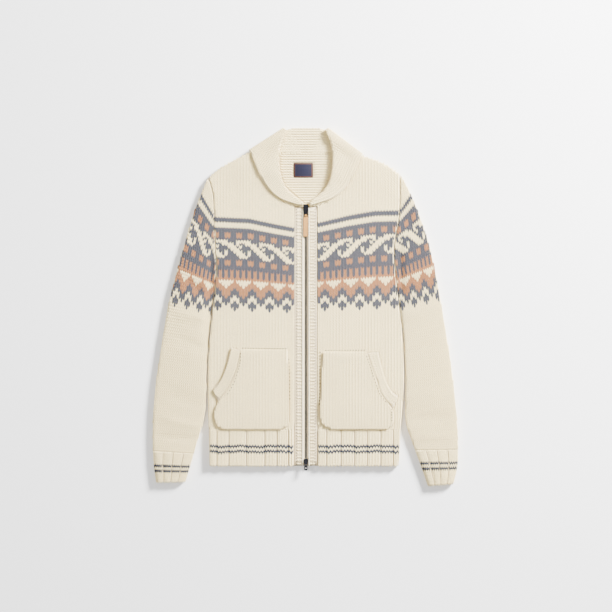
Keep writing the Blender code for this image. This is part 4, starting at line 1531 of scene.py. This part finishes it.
@dataclass
class Collar:
    """Stitches of the roll collar, whose wales run along its length.

    Attributes:
        fold_line: Fold of each front half, from the zip outwards; x is measured from the zip.
        edge_line: Free edge at the same places.

    STAND holds heights of the back stand and its half widths there. LEAN lowers the right half's
    free side and raises the left one's, from LEAN_START outwards over LEAN_RUN.
    """

    fold_line: Sequence[Plan] = (
        (7.8, 226.0), (16.0, 232.5), (26.0, 239.5), (35.5, 247.0), (44.5, 256.5), (52.0, 268.5),
        (57.8, 284.0), (61.0, 302.0), (62.3, 322.0), (61.5, 343.0), (56.5, 366.0), (46.2, 384.4),
    )
    edge_line: Sequence[Plan] = (
        (8.0, 219.5), (16.5, 221.0), (28.5, 224.5), (42.0, 229.0), (56.0, 234.5), (71.0, 244.5),
        (86.0, 260.0), (98.5, 280.0), (107.5, 300.0), (114.5, 316.0), (118.5, 326.0), (124.0, 333.0),
    )
    STAND = ((337.0, 56.0), (366.0, 50.0), (384.0, 40.0), (391.0, 34.0))
    STAND_HALF_WALES = 10
    WALE_WIDTH = 6.2
    REACH = 16
    ANCHOR = 0.985
    EXTRA_ROWS = 5
    LEAN, LEAN_START, LEAN_RUN = 4.4, 50, 75

    def plan(self) -> StitchPlan:
        """Plans the stitches of both halves, each from the zip round to the back of the neck.

        Returns:
            The stitch plan.
        """
        plan = StitchPlan("collar")
        pairs = list(zip(self.fold_line, self.edge_line))
        length = [0.0]
        for (fold, edge), (next_fold, next_edge) in zip(pairs, pairs[1:]):
            step = (math.dist(fold, next_fold) + math.dist(edge, next_edge)) / 2
            length.append(length[-1] + step / COURSE)
        rows = range(-1, int(length[-1]) + 1 + self.EXTRA_ROWS)
        for side in Side:
            lines = RowLines([
                Station(row, self._placed(side.value, fold), self._placed(side.value, edge))
                for row, (fold, edge) in zip(length, pairs)
            ])
            lines.fill(plan, plain_cream, rows, self.WALE_WIDTH, self.REACH, self.ANCHOR)
        return plan

    def stand_plan(self) -> StitchPlan:
        """Plans the bumps on the inside of the back stand, in rows set half a wale apart.

        Returns:
            The stitch plan.
        """
        plan = StitchPlan("collar")
        heights, reaches = zip(*self.STAND)
        for j in range(int((heights[-1] - heights[0]) / (COURSE / 2)) + 1):
            y = heights[0] + j * COURSE / 2
            reach = float(np.interp(y, heights, reaches))
            for i in range(-self.STAND_HALF_WALES, self.STAND_HALF_WALES + 1):
                x = ZIP_X + (i + 0.5 * (j % 2)) * WALE
                if abs(x - ZIP_X) < reach:
                    put_bump(plan, (x, y), j)
        return plan

    def _placed(self, sign: int, point: Plan) -> Plan:
        """Finds the plan point of a collar point on one half.

        Args:
            sign: -1 on the left half, 1 on the right one.
            point: Distance from the zip, and height.

        Returns:
            The plan point.
        """
        lean = self.LEAN * smooth_step((point[0] - self.LEAN_START) / self.LEAN_RUN)
        return ZIP_X + sign * point[0], point[1] - sign * lean


@dataclass
class NeckInside:
    """Purl side of the back, which shows inside the neck.

    Attributes:
        half_width: Half width of the bumps' field in millimetres.
        low_y: Lower end of the field.
        high_y: Upper end of the field.
    """

    half_width: float = 66.0
    low_y: float = 226.0
    high_y: float = 338.0

    def plan(self) -> StitchPlan:
        """Plans two rows of bumps for each course, set half a wale apart.

        Returns:
            The stitch plan.
        """
        plan = StitchPlan("back")
        rise = COURSE / 2
        for j in range(int((self.high_y - self.low_y) / rise)):
            for k in range(int(2 * self.half_width / WALE)):
                x = ZIP_X - self.half_width + (k + 0.5 * (j % 2)) * WALE
                put_bump(plan, (x, self.low_y + j * rise), j)
        return plan


@dataclass
class BackOutside:
    """Outer face of the back, which the garment lies on.

    Attributes:
        half_wales: Wales on each side of the middle one.
    """

    half_wales: int = 34
    RIB_PITCH = 5

    def plan(self, chart: YokeChart) -> StitchPlan:
        """Plans the stitches, with the yoke carried round from both fronts.

        Args:
            chart: Chart of the yoke.

        Returns:
            The stitch plan.
        """
        plan = StitchPlan("back")
        tops = sorted((front.side.value * away, y) for front in FRONTS for away, y in front.top_line)
        crosses = sorted((front.side.value * away, y) for front in FRONTS for away, y in front.cross_line)
        for k in range(-self.half_wales, self.half_wales + 1):
            top = float(np.interp(k * WALE, *zip(*tops)))
            cross = float(np.interp(k * WALE, *zip(*crosses)))
            yoke = (top - cross) / (Front.CROSS_ROW + 0.5)
            plain = (cross - HEM_TOP) / (Front.LAST_ROW - Front.CROSS_ROW + 0.5)
            for row in range(Front.FIRST_ROW, Front.LAST_ROW + 1):
                course = yoke if row <= Front.CROSS_ROW else plain
                y = cross + (Front.CROSS_ROW - row) * course
                plan.put((ZIP_X + k * WALE, y), (0.0, 1.0), WALE, course, chart.yarn(row, k))
        return plan

    def hem_plan(self) -> StitchPlan:
        """Plans the hem's ribs of four wales, with its stripes.

        Returns:
            The stitch plan.
        """
        plan = StitchPlan("hem_back")
        course = (HEM_TOP - HEM_BOTTOM) / HemFront.ROWS
        for k in range(-self.half_wales, self.half_wales + 1):
            if k % self.RIB_PITCH == 0:
                continue
            for row in range(HemFront.ROWS):
                yarn = Yarn.STRIPE if row in HemFront.STRIPES else Yarn.CREAM
                plan.put((ZIP_X + k * WALE, HEM_TOP - (row + 0.5) * course), (0.0, 1.0), WALE, course, yarn)
        return plan


@dataclass
class HemFront:
    """Ribbed hem of one front.

    Attributes:
        side: Half of the garment.
        grooves: x of the grooves between the ribs.
        end: x of the side seam.

    SWAYS holds height, waves per millimetre and start of the waves in which the rows lie.
    """

    side: Side
    grooves: Sequence[float]
    end: float
    ROWS = 14
    STRIPES = (6, 8)
    GROOVE = 3.4
    START = 25.8
    SWAYS = ((1.1, 0.083, 1.0), (0.8, 0.21, 0.0))
    SWAY_ROWS = 8

    def plan(self) -> StitchPlan:
        """Plans the stitches in columns on each rib, and only the stripes' yarn in the grooves.

        Returns:
            The stitch plan.
        """
        plan = StitchPlan(f"hem_front_{self.side.word}")
        start = ZIP_X + self.side.value * self.START
        stops = sorted([start, *self.grooves, self.end])
        course = (HEM_TOP - HEM_BOTTOM) / self.ROWS
        for low, high in zip(stops, stops[1:]):
            room = high - low - self.GROOVE
            count = max(1, round(room / WALE))
            for k in range(count):
                x = low + self.GROOVE / 2 + room * (k + 0.5) / count
                sway = sum(high * math.sin(x * wave + begin) for high, wave, begin in self.SWAYS)
                for row in range(self.ROWS):
                    yarn = Yarn.STRIPE if row in self.STRIPES else Yarn.CREAM
                    share = 1.0 - abs(row - self.ROWS // 2) / self.SWAY_ROWS
                    place = (x, HEM_TOP - (row + 0.5) * course + sway * share)
                    plan.put(place, (0.0, 1.0), room / count, course * stripe_gain(yarn), yarn)
        for x in self.grooves:
            for row in self.STRIPES:
                plan.put((x, HEM_TOP - (row + 0.5) * course), (0.0, 1.0), self.GROOVE, course, Yarn.STRIPE)
        return plan


HEMS = (
    HemFront(Side.LEFT, (-194.4, -168.0, -129.5, -89.4, -62.4, -37.4), -214.0),
    HemFront(Side.RIGHT, (46.2, 78.0, 107.5, 135.6, 165.1, 192.5), 211.0),
)


@dataclass
class Pocket:
    """One patch pocket and the ribbed band of its mouth.

    Attributes:
        side: Half of the garment.
        mouth: Middle line of the band, bottom to top.

    BAND_ROWS holds the distances of the band's rows from its middle line.
    """

    side: Side
    mouth: Sequence[Plan]
    LOW_Y = -268.0
    HIGH_Y = -92.0
    WALES = 30
    FIRST_WALE = 32.0
    BAND_ROWS = (-7.4, -2.6, 2.2, 7.0)
    BAND_WALE = 5.2
    BAND_COURSE = 5.1

    def plan(self) -> StitchPlan:
        """Plans the pocket's own stitches.

        Returns:
            The stitch plan.
        """
        plan = StitchPlan(f"pocket_{self.side.word}")
        for k in range(self.WALES):
            x = ZIP_X + self.side.value * (self.FIRST_WALE + WALE * k)
            for row in range(int((self.HIGH_Y - self.LOW_Y) / COURSE) + 1):
                plan.put((x, self.LOW_Y + (row + 0.5) * COURSE), (0.0, 1.0), WALE, COURSE, Yarn.CREAM)
        return plan

    def band_plan(self) -> StitchPlan:
        """Plans the band's stitches, whose columns run across it from the mouth.

        Returns:
            The stitch plan.
        """
        plan = StitchPlan(f"pocket_trim_{self.side.word}")
        points = [Vector(p) for p in self.mouth]
        for a, b in zip(points, points[1:]):
            along = b - a
            count = max(1, round(along.length / self.BAND_WALE))
            aside = Vector((along.y, -along.x)).normalized()
            for i in range(count):
                middle = a + along * ((i + 0.5) / count)
                for offset in self.BAND_ROWS:
                    place = middle + aside * offset
                    plan.put(place[:], aside[:], along.length / count, self.BAND_COURSE, Yarn.CREAM)
        return plan


POCKETS = (
    Pocket(Side.LEFT, ((-196.5, -193.0), (-184.5, -179.8), (-174.0, -162.5), (-166.0, -144.5),
                       (-160.5, -127.5), (-156.0, -110.0), (-152.5, -93.0))),
    Pocket(Side.RIGHT, ((197.0, -208.5), (182.0, -196.0), (172.2, -179.0), (165.3, -162.0),
                        (159.6, -144.0), (153.2, -121.5), (147.5, -100.5))),
)


@dataclass(frozen=True)
class Ladder:
    """Line of small openings where a piece is picked up or sewn on, each drawn as a dark sewn form whose
    colour is painted shade.

    Attributes:
        node: Piece that the openings lie on.
        line: Plan points of the line.
        pitch: Distance between the openings in millimetres.
    """

    node: str
    line: Sequence[Plan]
    pitch: float = 6.6
    OPENING = (2.2, 3.2)

    def plan(self) -> StitchPlan:
        """Plans the openings, each along the line.

        Returns:
            The stitch plan.
        """
        plan = StitchPlan(self.node)
        for a, b in zip(self.line, self.line[1:]):
            run = Vector(b) - Vector(a)
            count = max(1, round(run.length / self.pitch))
            for i in range(count):
                place = Vector(a) + run * ((i + 0.5) / count)
                # Each opening is a dark form in painted shade, standing for the shade inside the hole.
                plan.put(place[:], run[:], *self.OPENING, Yarn.PIT)
        return plan


LADDERS = (
    Ladder("front_left", ((-36.8, -104.0), (-34.8, -150.0), (-34.2, -206.0)), 8.0),
    Ladder("front_left", ((-140.0, -90.6), (-40.0, -91.4)), 5.9),
    Ladder("front_right", ((32.2, -96.0), (31.6, -180.0), (31.0, -232.0)), 8.0),
    Ladder("front_right", ((42.0, -95.6), (132.0, -95.0)), 5.9),
    Ladder("pocket_left", ((-141.5, -99.0), (-142.4, -120.8), (-147.0, -139.3), (-153.4, -160.9),
                           (-163.3, -180.5), (-172.1, -193.9))),
    Ladder("pocket_right", ((133.6, -106.4), (142.3, -130.1), (149.5, -154.8), (157.2, -176.4),
                            (164.4, -192.9), (178.0, -210.4))),
    Ladder("pocket_right", ((188.8, -222.0), (189.4, -252.0)), 5.6),
)


@dataclass
class Placket:
    """Band knitted sideways beside the zip, and its rolled cord.

    Attributes:
        side: Half of the garment.
        columns: Distances of the rows of bumps from the zip.
        ladder_at: Distance of the seam's openings from the zip, drawn as dark forms in painted shade.
        cord_at: Distance of the cord's middle from the zip.
    """

    side: Side
    columns: Sequence[float] = (11.8, 17.1, 23.6)
    ladder_at: float = 20.5
    cord_at: float = 5.7
    TOP_Y = 219.0
    CORD_PITCH, CORD_LOOP = 4.9, (5.9, 5.0)
    BUMP_PITCH, BUMP = 7.6, (6.2, 7.0)
    OPENING_START, OPENING = 3.2, (2.1, 3.4)

    def _columns(self, aways: Sequence[float], start: float, pitch: float, size: tuple[float, float],
                 yarn: Yarn) -> StitchPlan:
        """Plans columns of loops along the band.

        Args:
            aways: Distance of each column from the zip.
            start: Height of the first loops over the band's lower end.
            pitch: Distance between the loops.
            size: Width and height of a loop.
            yarn: Yarn of the loops.

        Returns:
            The stitch plan.
        """
        plan = StitchPlan(f"placket_{self.side.word}")
        for i in range(int((self.TOP_Y - HEM_BOTTOM) / pitch)):
            for away in aways:
                place = (ZIP_X + self.side.value * away, HEM_BOTTOM + i * pitch + start)
                plan.put(place, (0.0, 1.0), *size, yarn)
        return plan

    def plans(self) -> tuple[StitchPlan, StitchPlan, StitchPlan]:
        """Plans the rolled cord, the bumps of the rows knitted sideways and the seam's openings, whose dark
        colour is painted shade.

        Returns:
            The three stitch plans.
        """
        return (
            self._columns([self.cord_at], self.CORD_PITCH / 2, self.CORD_PITCH, self.CORD_LOOP, Yarn.CORD),
            self._columns(self.columns, self.BUMP_PITCH / 2, self.BUMP_PITCH, self.BUMP, Yarn.CREAM),
            # The seam's openings are dark sewn forms in painted shade.
            self._columns([self.ladder_at], self.OPENING_START, WALE, self.OPENING, Yarn.PIT),
        )


@dataclass
class Zip:
    """Zip teeth and the sewing of the leather pull.

    Attributes:
        pitch: Distance between the teeth of one side.
        low_y: Height of the lowest tooth.
        high_y: Upper end of the teeth.
        root_z: Height of the teeth's lower face over the surface.
        strap_top: Upper end of the leather pull.
        strap_low: Its lower end.
    """

    pitch: float = 2.5
    low_y: float = -331.5
    high_y: float = 202.6
    root_z: float = 6.9
    strap_top: float = 197.6
    strap_low: float = 155.2
    TOOTH_OUT = 0.62
    TOOTH = (3.4, 2.4, 2.3)
    SEAMS = (-4.1, 3.4)
    SEAM_PITCH, SEAM_START, SEAM_END = 2.4, 1.8, 3.6
    SEAM_STITCH = (0.8, 1.8, 0.7)
    FACE = Vector((0, 0, 1))

    def teeth(self, setter: LoopSetter, finish: bpy.types.Material) -> bpy.types.Object:
        """Sets the moulded teeth, alternating from both tapes.

        Args:
            setter: Sets the tooth form on each place.
            finish: Material of the teeth.

        Returns:
            The row of teeth.
        """
        places = []
        size = Vector([c * MM for c in self.TOOTH])
        for i in range(int((self.high_y - self.low_y) / self.pitch)):
            for sign in (-1, 1):
                y = self.low_y + (i + (0.5 if sign > 0 else 0.0)) * self.pitch
                place = Vector(((ZIP_X + sign * self.TOOTH_OUT) * MM, y * MM, self.root_z * MM))
                places.append((place, self.FACE, Vector((0.0, -sign, 0.0)), size, (0.0, 0.0, 0.0)))
        teeth = setter.lay("zip_teeth", Loop.TOOTH, places, finish, spread=0.0)
        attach(teeth, "garment")
        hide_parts("zip_chain")
        return teeth

    def sewing(self, setter: LoopSetter, finish: bpy.types.Material, top: float) -> bpy.types.Object:
        """Sets the sewn stitches along both edges of the leather pull.

        Args:
            setter: Sets the stitch form on each place.
            finish: Material of the thread.
            top: Height of the leather's upper face in millimetres.

        Returns:
            The row of stitches.
        """
        places = []
        size = Vector([c * MM for c in self.SEAM_STITCH])
        for i in range(int((self.strap_top - self.strap_low) / self.SEAM_PITCH)):
            y = self.strap_low + self.SEAM_START + i * self.SEAM_PITCH
            if y > self.strap_top - self.SEAM_END:
                continue
            for x in self.SEAMS:
                place = Vector(((ZIP_X + x) * MM, y * MM, top * MM))
                places.append((place, self.FACE, Vector((0, 1, 0)), size, Yarn.THREAD.value))
        thread = setter.lay("pull_stitching", Loop.SEWN, places, finish, spread=0.0)
        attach(thread, "zip_pull")
        return thread


@dataclass
class Studio:
    """Pale floor just under the garment, soft lights and the camera straight above.

    Attributes:
        centre: Plan point at the middle of the picture, in metres.
        view_width: Width that the picture covers at the floor, in metres.
        lens: Focal length in millimetres.
    """

    centre: Plan = (0.0014, 0.0017)
    view_width: float = 1.3464
    lens: float = 110.0
    SENSOR = 36.0
    FLOOR_HALF, FLOOR_Z, FLOOR_TONE = 4000.0, -0.45, 0.96
    SKY_STRENGTH = 0.74

    def floor(self) -> None:
        """Makes the pale floor."""
        half = self.FLOOR_HALF
        plan = ((-half, -half), (half, -half), (half, half), (-half, half))
        corners = [(x, y, self.FLOOR_Z) for x, y in plan]
        floor = mesh_object("floor", corners, [(0, 1, 2, 3)])
        material, _, shader = blank_material("pale_floor")
        shader.inputs["Base Color"].default_value = (*[self.FLOOR_TONE] * 3, 1)
        shader.inputs["Roughness"].default_value = 0.9
        floor.data.materials.append(material)

    @staticmethod
    def lamp(name: str, place: Sequence[float], size: float, power: float) -> None:
        """Adds one white area light that faces the origin.

        Args:
            name: Name of the light.
            place: Its place in metres.
            size: Side of the square in metres.
            power: Power in watts.
        """
        data = bpy.data.lights.new(name, "AREA")
        data.size = size
        data.energy = power
        lamp = linked(name, data)
        lamp.location = place
        lamp.rotation_euler = (-Vector(place)).to_track_quat("-Z", "Y").to_euler()

    def light(self) -> None:
        """Adds the soft key light from the upper right, the fill and the sky."""
        self.lamp("key", (2.2, 1.9, 1.5), 0.8, 820)
        self.lamp("fill", (-1.2, -0.6, 3.2), 2.6, 60)
        world = bpy.data.worlds.new("sky")
        world.use_nodes = True
        sky = world.node_tree.nodes["Background"]
        sky.inputs["Color"].default_value = (1.0, 1.0, 1.0, 1.0)
        sky.inputs["Strength"].default_value = self.SKY_STRENGTH
        bpy.context.scene.world = world

    def camera(self) -> None:
        """Places the camera straight above, framed as the picture is."""
        data = bpy.data.cameras.new("camera")
        data.sensor_width = self.SENSOR
        data.lens = self.lens
        data.clip_end = 50.0
        camera = linked("camera", data)
        camera.location = (*self.centre, self.view_width * self.lens / self.SENSOR)
        bpy.context.scene.camera = camera


@dataclass
class Cardigan:
    """The whole garment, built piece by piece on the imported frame.

    Attributes:
        nodes: Packed objects by node name.
        effects: Shared shader groups.
        setter: Sets loops on the walls.
        walls: Cloth walls by node name, once they are built.
        surface: Everything that a stitch can lie on.

    The lifts say in millimetres how high a loop's own origin lies over its wall.
    """

    nodes: dict[str, bpy.types.Object]
    effects: SharedEffects
    setter: LoopSetter
    walls: dict[str, Wall] = field(default_factory=dict)
    surface: Surface = field(default_factory=Surface)
    # Painted shade: the walls are a darker cream than the yarn so that the gaps between the loops read as
    # shade.
    KNIT_COLOUR = linear(236, 216, 166)
    RIB_COLOUR = linear(230, 210, 168)
    SLEEVE_TURN = 13.0
    PLAIN_LIFT, ON_WALL, BAND_LIFT, SEAM_LIFT, LADDER_LIFT = 0.1, 0.0, -0.5, 1.5, 2.3
    PRESSED_LIFT = 0.02
    SEWING_LIFT = 2.2

    def build_walls(self) -> None:
        """Builds every cloth wall and gathers them for the stitches to lie on."""
        knit, left, right, rib, sideways = (
            finish.material(self.effects) for finish in (
                WallFinish("knit_wall", self.KNIT_COLOUR),
                WallFinish("knit_wall_left_sleeve", self.KNIT_COLOUR, turn=-self.SLEEVE_TURN),
                WallFinish("knit_wall_right_sleeve", self.KNIT_COLOUR, turn=self.SLEEVE_TURN),
                WallFinish("rib_wall", self.RIB_COLOUR, wale=3.2),
                WallFinish("sideways_wall", self.RIB_COLOUR, turn=90.0),
            )
        )
        label = LabelFinish().material(self.effects)
        plan = [
            ("back", 1, knit, (0.436, 0.625), 0.248, ("floor",), "cream_knit"),
            ("front_left", 2, knit, (0.192, 0.626), 0.1024, ("back",), "cream_knit"),
            ("front_right", 2, knit, (0.192, 0.620), 0.1020, ("back",), "cream_knit"),
            ("hem_back", 1, rib, (0.424, 0.0786), 0.0329, ("floor",), "cream_rib"),
            ("hem_front_left", 2, rib, (0.192, 0.0786), 0.0150, ("hem_back",), "cream_rib"),
            ("hem_front_right", 2, rib, (0.188, 0.0786), 0.0146, ("hem_back",), "cream_rib"),
            ("sleeve_left", 2, left, (0.226, 0.615), 0.1020, ("floor",), "cream_knit"),
            ("sleeve_right", 2, right, (0.226, 0.615), 0.0998, ("floor",), "cream_knit"),
            ("cuff_left", 2, rib, (0.186, 0.068), 0.0107, ("floor",), "cream_rib"),
            ("cuff_right", 2, rib, (0.190, 0.078), 0.0125, ("floor",), "cream_rib"),
            ("collar", 2, knit, (0.120, 0.560), 0.0478, ("back", "front_left", "front_right"), "cream_knit"),
            ("placket_left", 1, sideways, (0.0230, 0.5696), 0.0129, ("back",), "cream_rib"),
            ("placket_right", 1, sideways, (0.0230, 0.5696), 0.0129, ("back",), "cream_rib"),
            ("pocket_left", 2, knit, (0.164, 0.172), 0.0233, ("front_left",), "cream_knit"),
            ("pocket_right", 2, knit, (0.164, 0.168), 0.0221, ("front_right",), "cream_knit"),
            ("pocket_trim_left", 2, rib, (0.0204, 0.142), 0.0027, ("front_left",), "cream_rib"),
            ("pocket_trim_right", 2, rib, (0.0204, 0.142), 0.0026, ("front_right",), "cream_rib"),
            ("neck_label", 1, label, (0.043, 0.033), 0.00142, ("back",), "label_cloth"),
        ]
        for name, levels, finish, flat, area, rests_on, slot in plan:
            wall = Wall(name, levels, finish, flat, area, rests_on, slot)
            self.surface.add(name, wall.build(self.nodes[name]))
            self.walls[name] = wall
        for name in ("zip_slider", "bottom_slider", "leather_pull", "zip_tape_left", "zip_tape_right"):
            self.surface.add(name, self.nodes[name])
        self.surface.close()
        LOG.info("%d walls", len(self.walls))

    def build_knit(self) -> None:
        chart = YokeChart()
        yarn = YarnFinish("yarn", fleck=0.36).material(self.effects)
        on_wall: dict[str, list[bpy.types.Object]] = {name: [] for name in self.walls}
        plans = [(Loop.KNIT, front.plan(chart), self.PLAIN_LIFT) for front in FRONTS]
        for sleeve in SLEEVES:
            plans.append((Loop.KNIT, sleeve.plan(chart), self.PLAIN_LIFT))
            plans.append((Loop.KNIT, sleeve.cuff_plan(), self.ON_WALL))
        plans += [(Loop.KNIT, hem.plan(), self.ON_WALL) for hem in HEMS]
        for pocket in POCKETS:
            plans.append((Loop.KNIT, pocket.plan(), self.PLAIN_LIFT))
            plans.append((Loop.KNIT, pocket.band_plan(), self.ON_WALL))
        for side in Side:
            cord, band, seam = Placket(side).plans()
            plans.append((Loop.KNIT, cord, self.ON_WALL))
            plans.append((Loop.PURL, band, self.BAND_LIFT))
            # The seam's openings are sewn forms coloured in painted shade.
            plans.append((Loop.SEWN, seam, self.SEAM_LIFT))
        # Ladders of openings: dark sewn forms whose colour is painted shade of the holes.
        openings = {ladder.node: StitchPlan(ladder.node) for ladder in LADDERS}
        for ladder in LADDERS:
            openings[ladder.node].rows.extend(ladder.plan().rows)
        plans += [(Loop.SEWN, plan, self.LADDER_LIFT) for plan in openings.values()]
        plans.append((Loop.KNIT, Collar().plan(), self.PLAIN_LIFT))
        plans.append((Loop.PURL, Collar().stand_plan(), self.ON_WALL))
        plans.append((Loop.PURL, NeckInside().plan(), self.ON_WALL))
        under = [BackOutside().plan(chart), BackOutside().hem_plan()]
        for sleeve in SLEEVES:
            under += [sleeve.plan(chart), sleeve.cuff_plan()]
        plans += [(Loop.PRESSED, plan, self.PRESSED_LIFT) for plan in under]
        for kind, plan, lift in plans:
            piece = self.setter.knit(f"{plan.node}_{kind.value}", kind, plan, self.surface, yarn, lift)
            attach(piece, "garment")
            on_wall[plan.node].append(piece)
        for name, wall in self.walls.items():
            wall.declare(on_wall[name])

    def build_zip(self) -> None:
        """Dresses the zip's solids and sets its teeth and the pull's sewing."""
        metal, teeth, hide, tape = (
            finish.material(self.effects) for finish in (
                SolidFinish("blackened_metal", linear(46, 46, 50), 0.34, metallic=1.0, grain=500),
                SolidFinish("moulded_teeth", linear(66, 64, 56), 0.42, metallic=0.3),
                SolidFinish("tan_leather", linear(172, 124, 62), 0.5, grain=1400, relief=0.12),
                SolidFinish("zip_tape_weave", linear(214, 206, 188), 0.9, grain=2000),
            )
        )
        thread = YarnFinish("pull_thread", fleck=0.1, plies=3.0).material(self.effects)
        dressed = {
            "zip_slider": metal, "bottom_slider": metal, "pull_link": metal, "bottom_tab": metal,
            "leather_pull": hide, "zip_tape_left": tape, "zip_tape_right": tape,
        }
        for name, finish in dressed.items():
            solid = self.nodes[name]
            solid.data.materials.clear()
            solid.data.materials.append(finish)
        zipper = Zip()
        zipper.teeth(self.setter, teeth)
        zipper.sewing(self.setter, thread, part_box("leather_pull")[0].z / MM + self.SEWING_LIFT)
        LOG.info("%d solids dressed, teeth and sewing set", len(dressed))


def main() -> None:
    """Builds the walls, the knit, the zip and the studio."""
    logging.basicConfig(level=logging.INFO, format="%(name)s: %(message)s")
    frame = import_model()
    forms = LoopForms()
    cardigan = Cardigan(dict(frame["nodes"]), SharedEffects(), LoopSetter(forms))
    cardigan.build_walls()
    cardigan.build_knit()
    cardigan.build_zip()
    forms.clear()
    studio = Studio()
    studio.floor()
    studio.light()
    studio.camera()


if __name__ == "__main__":
    main()
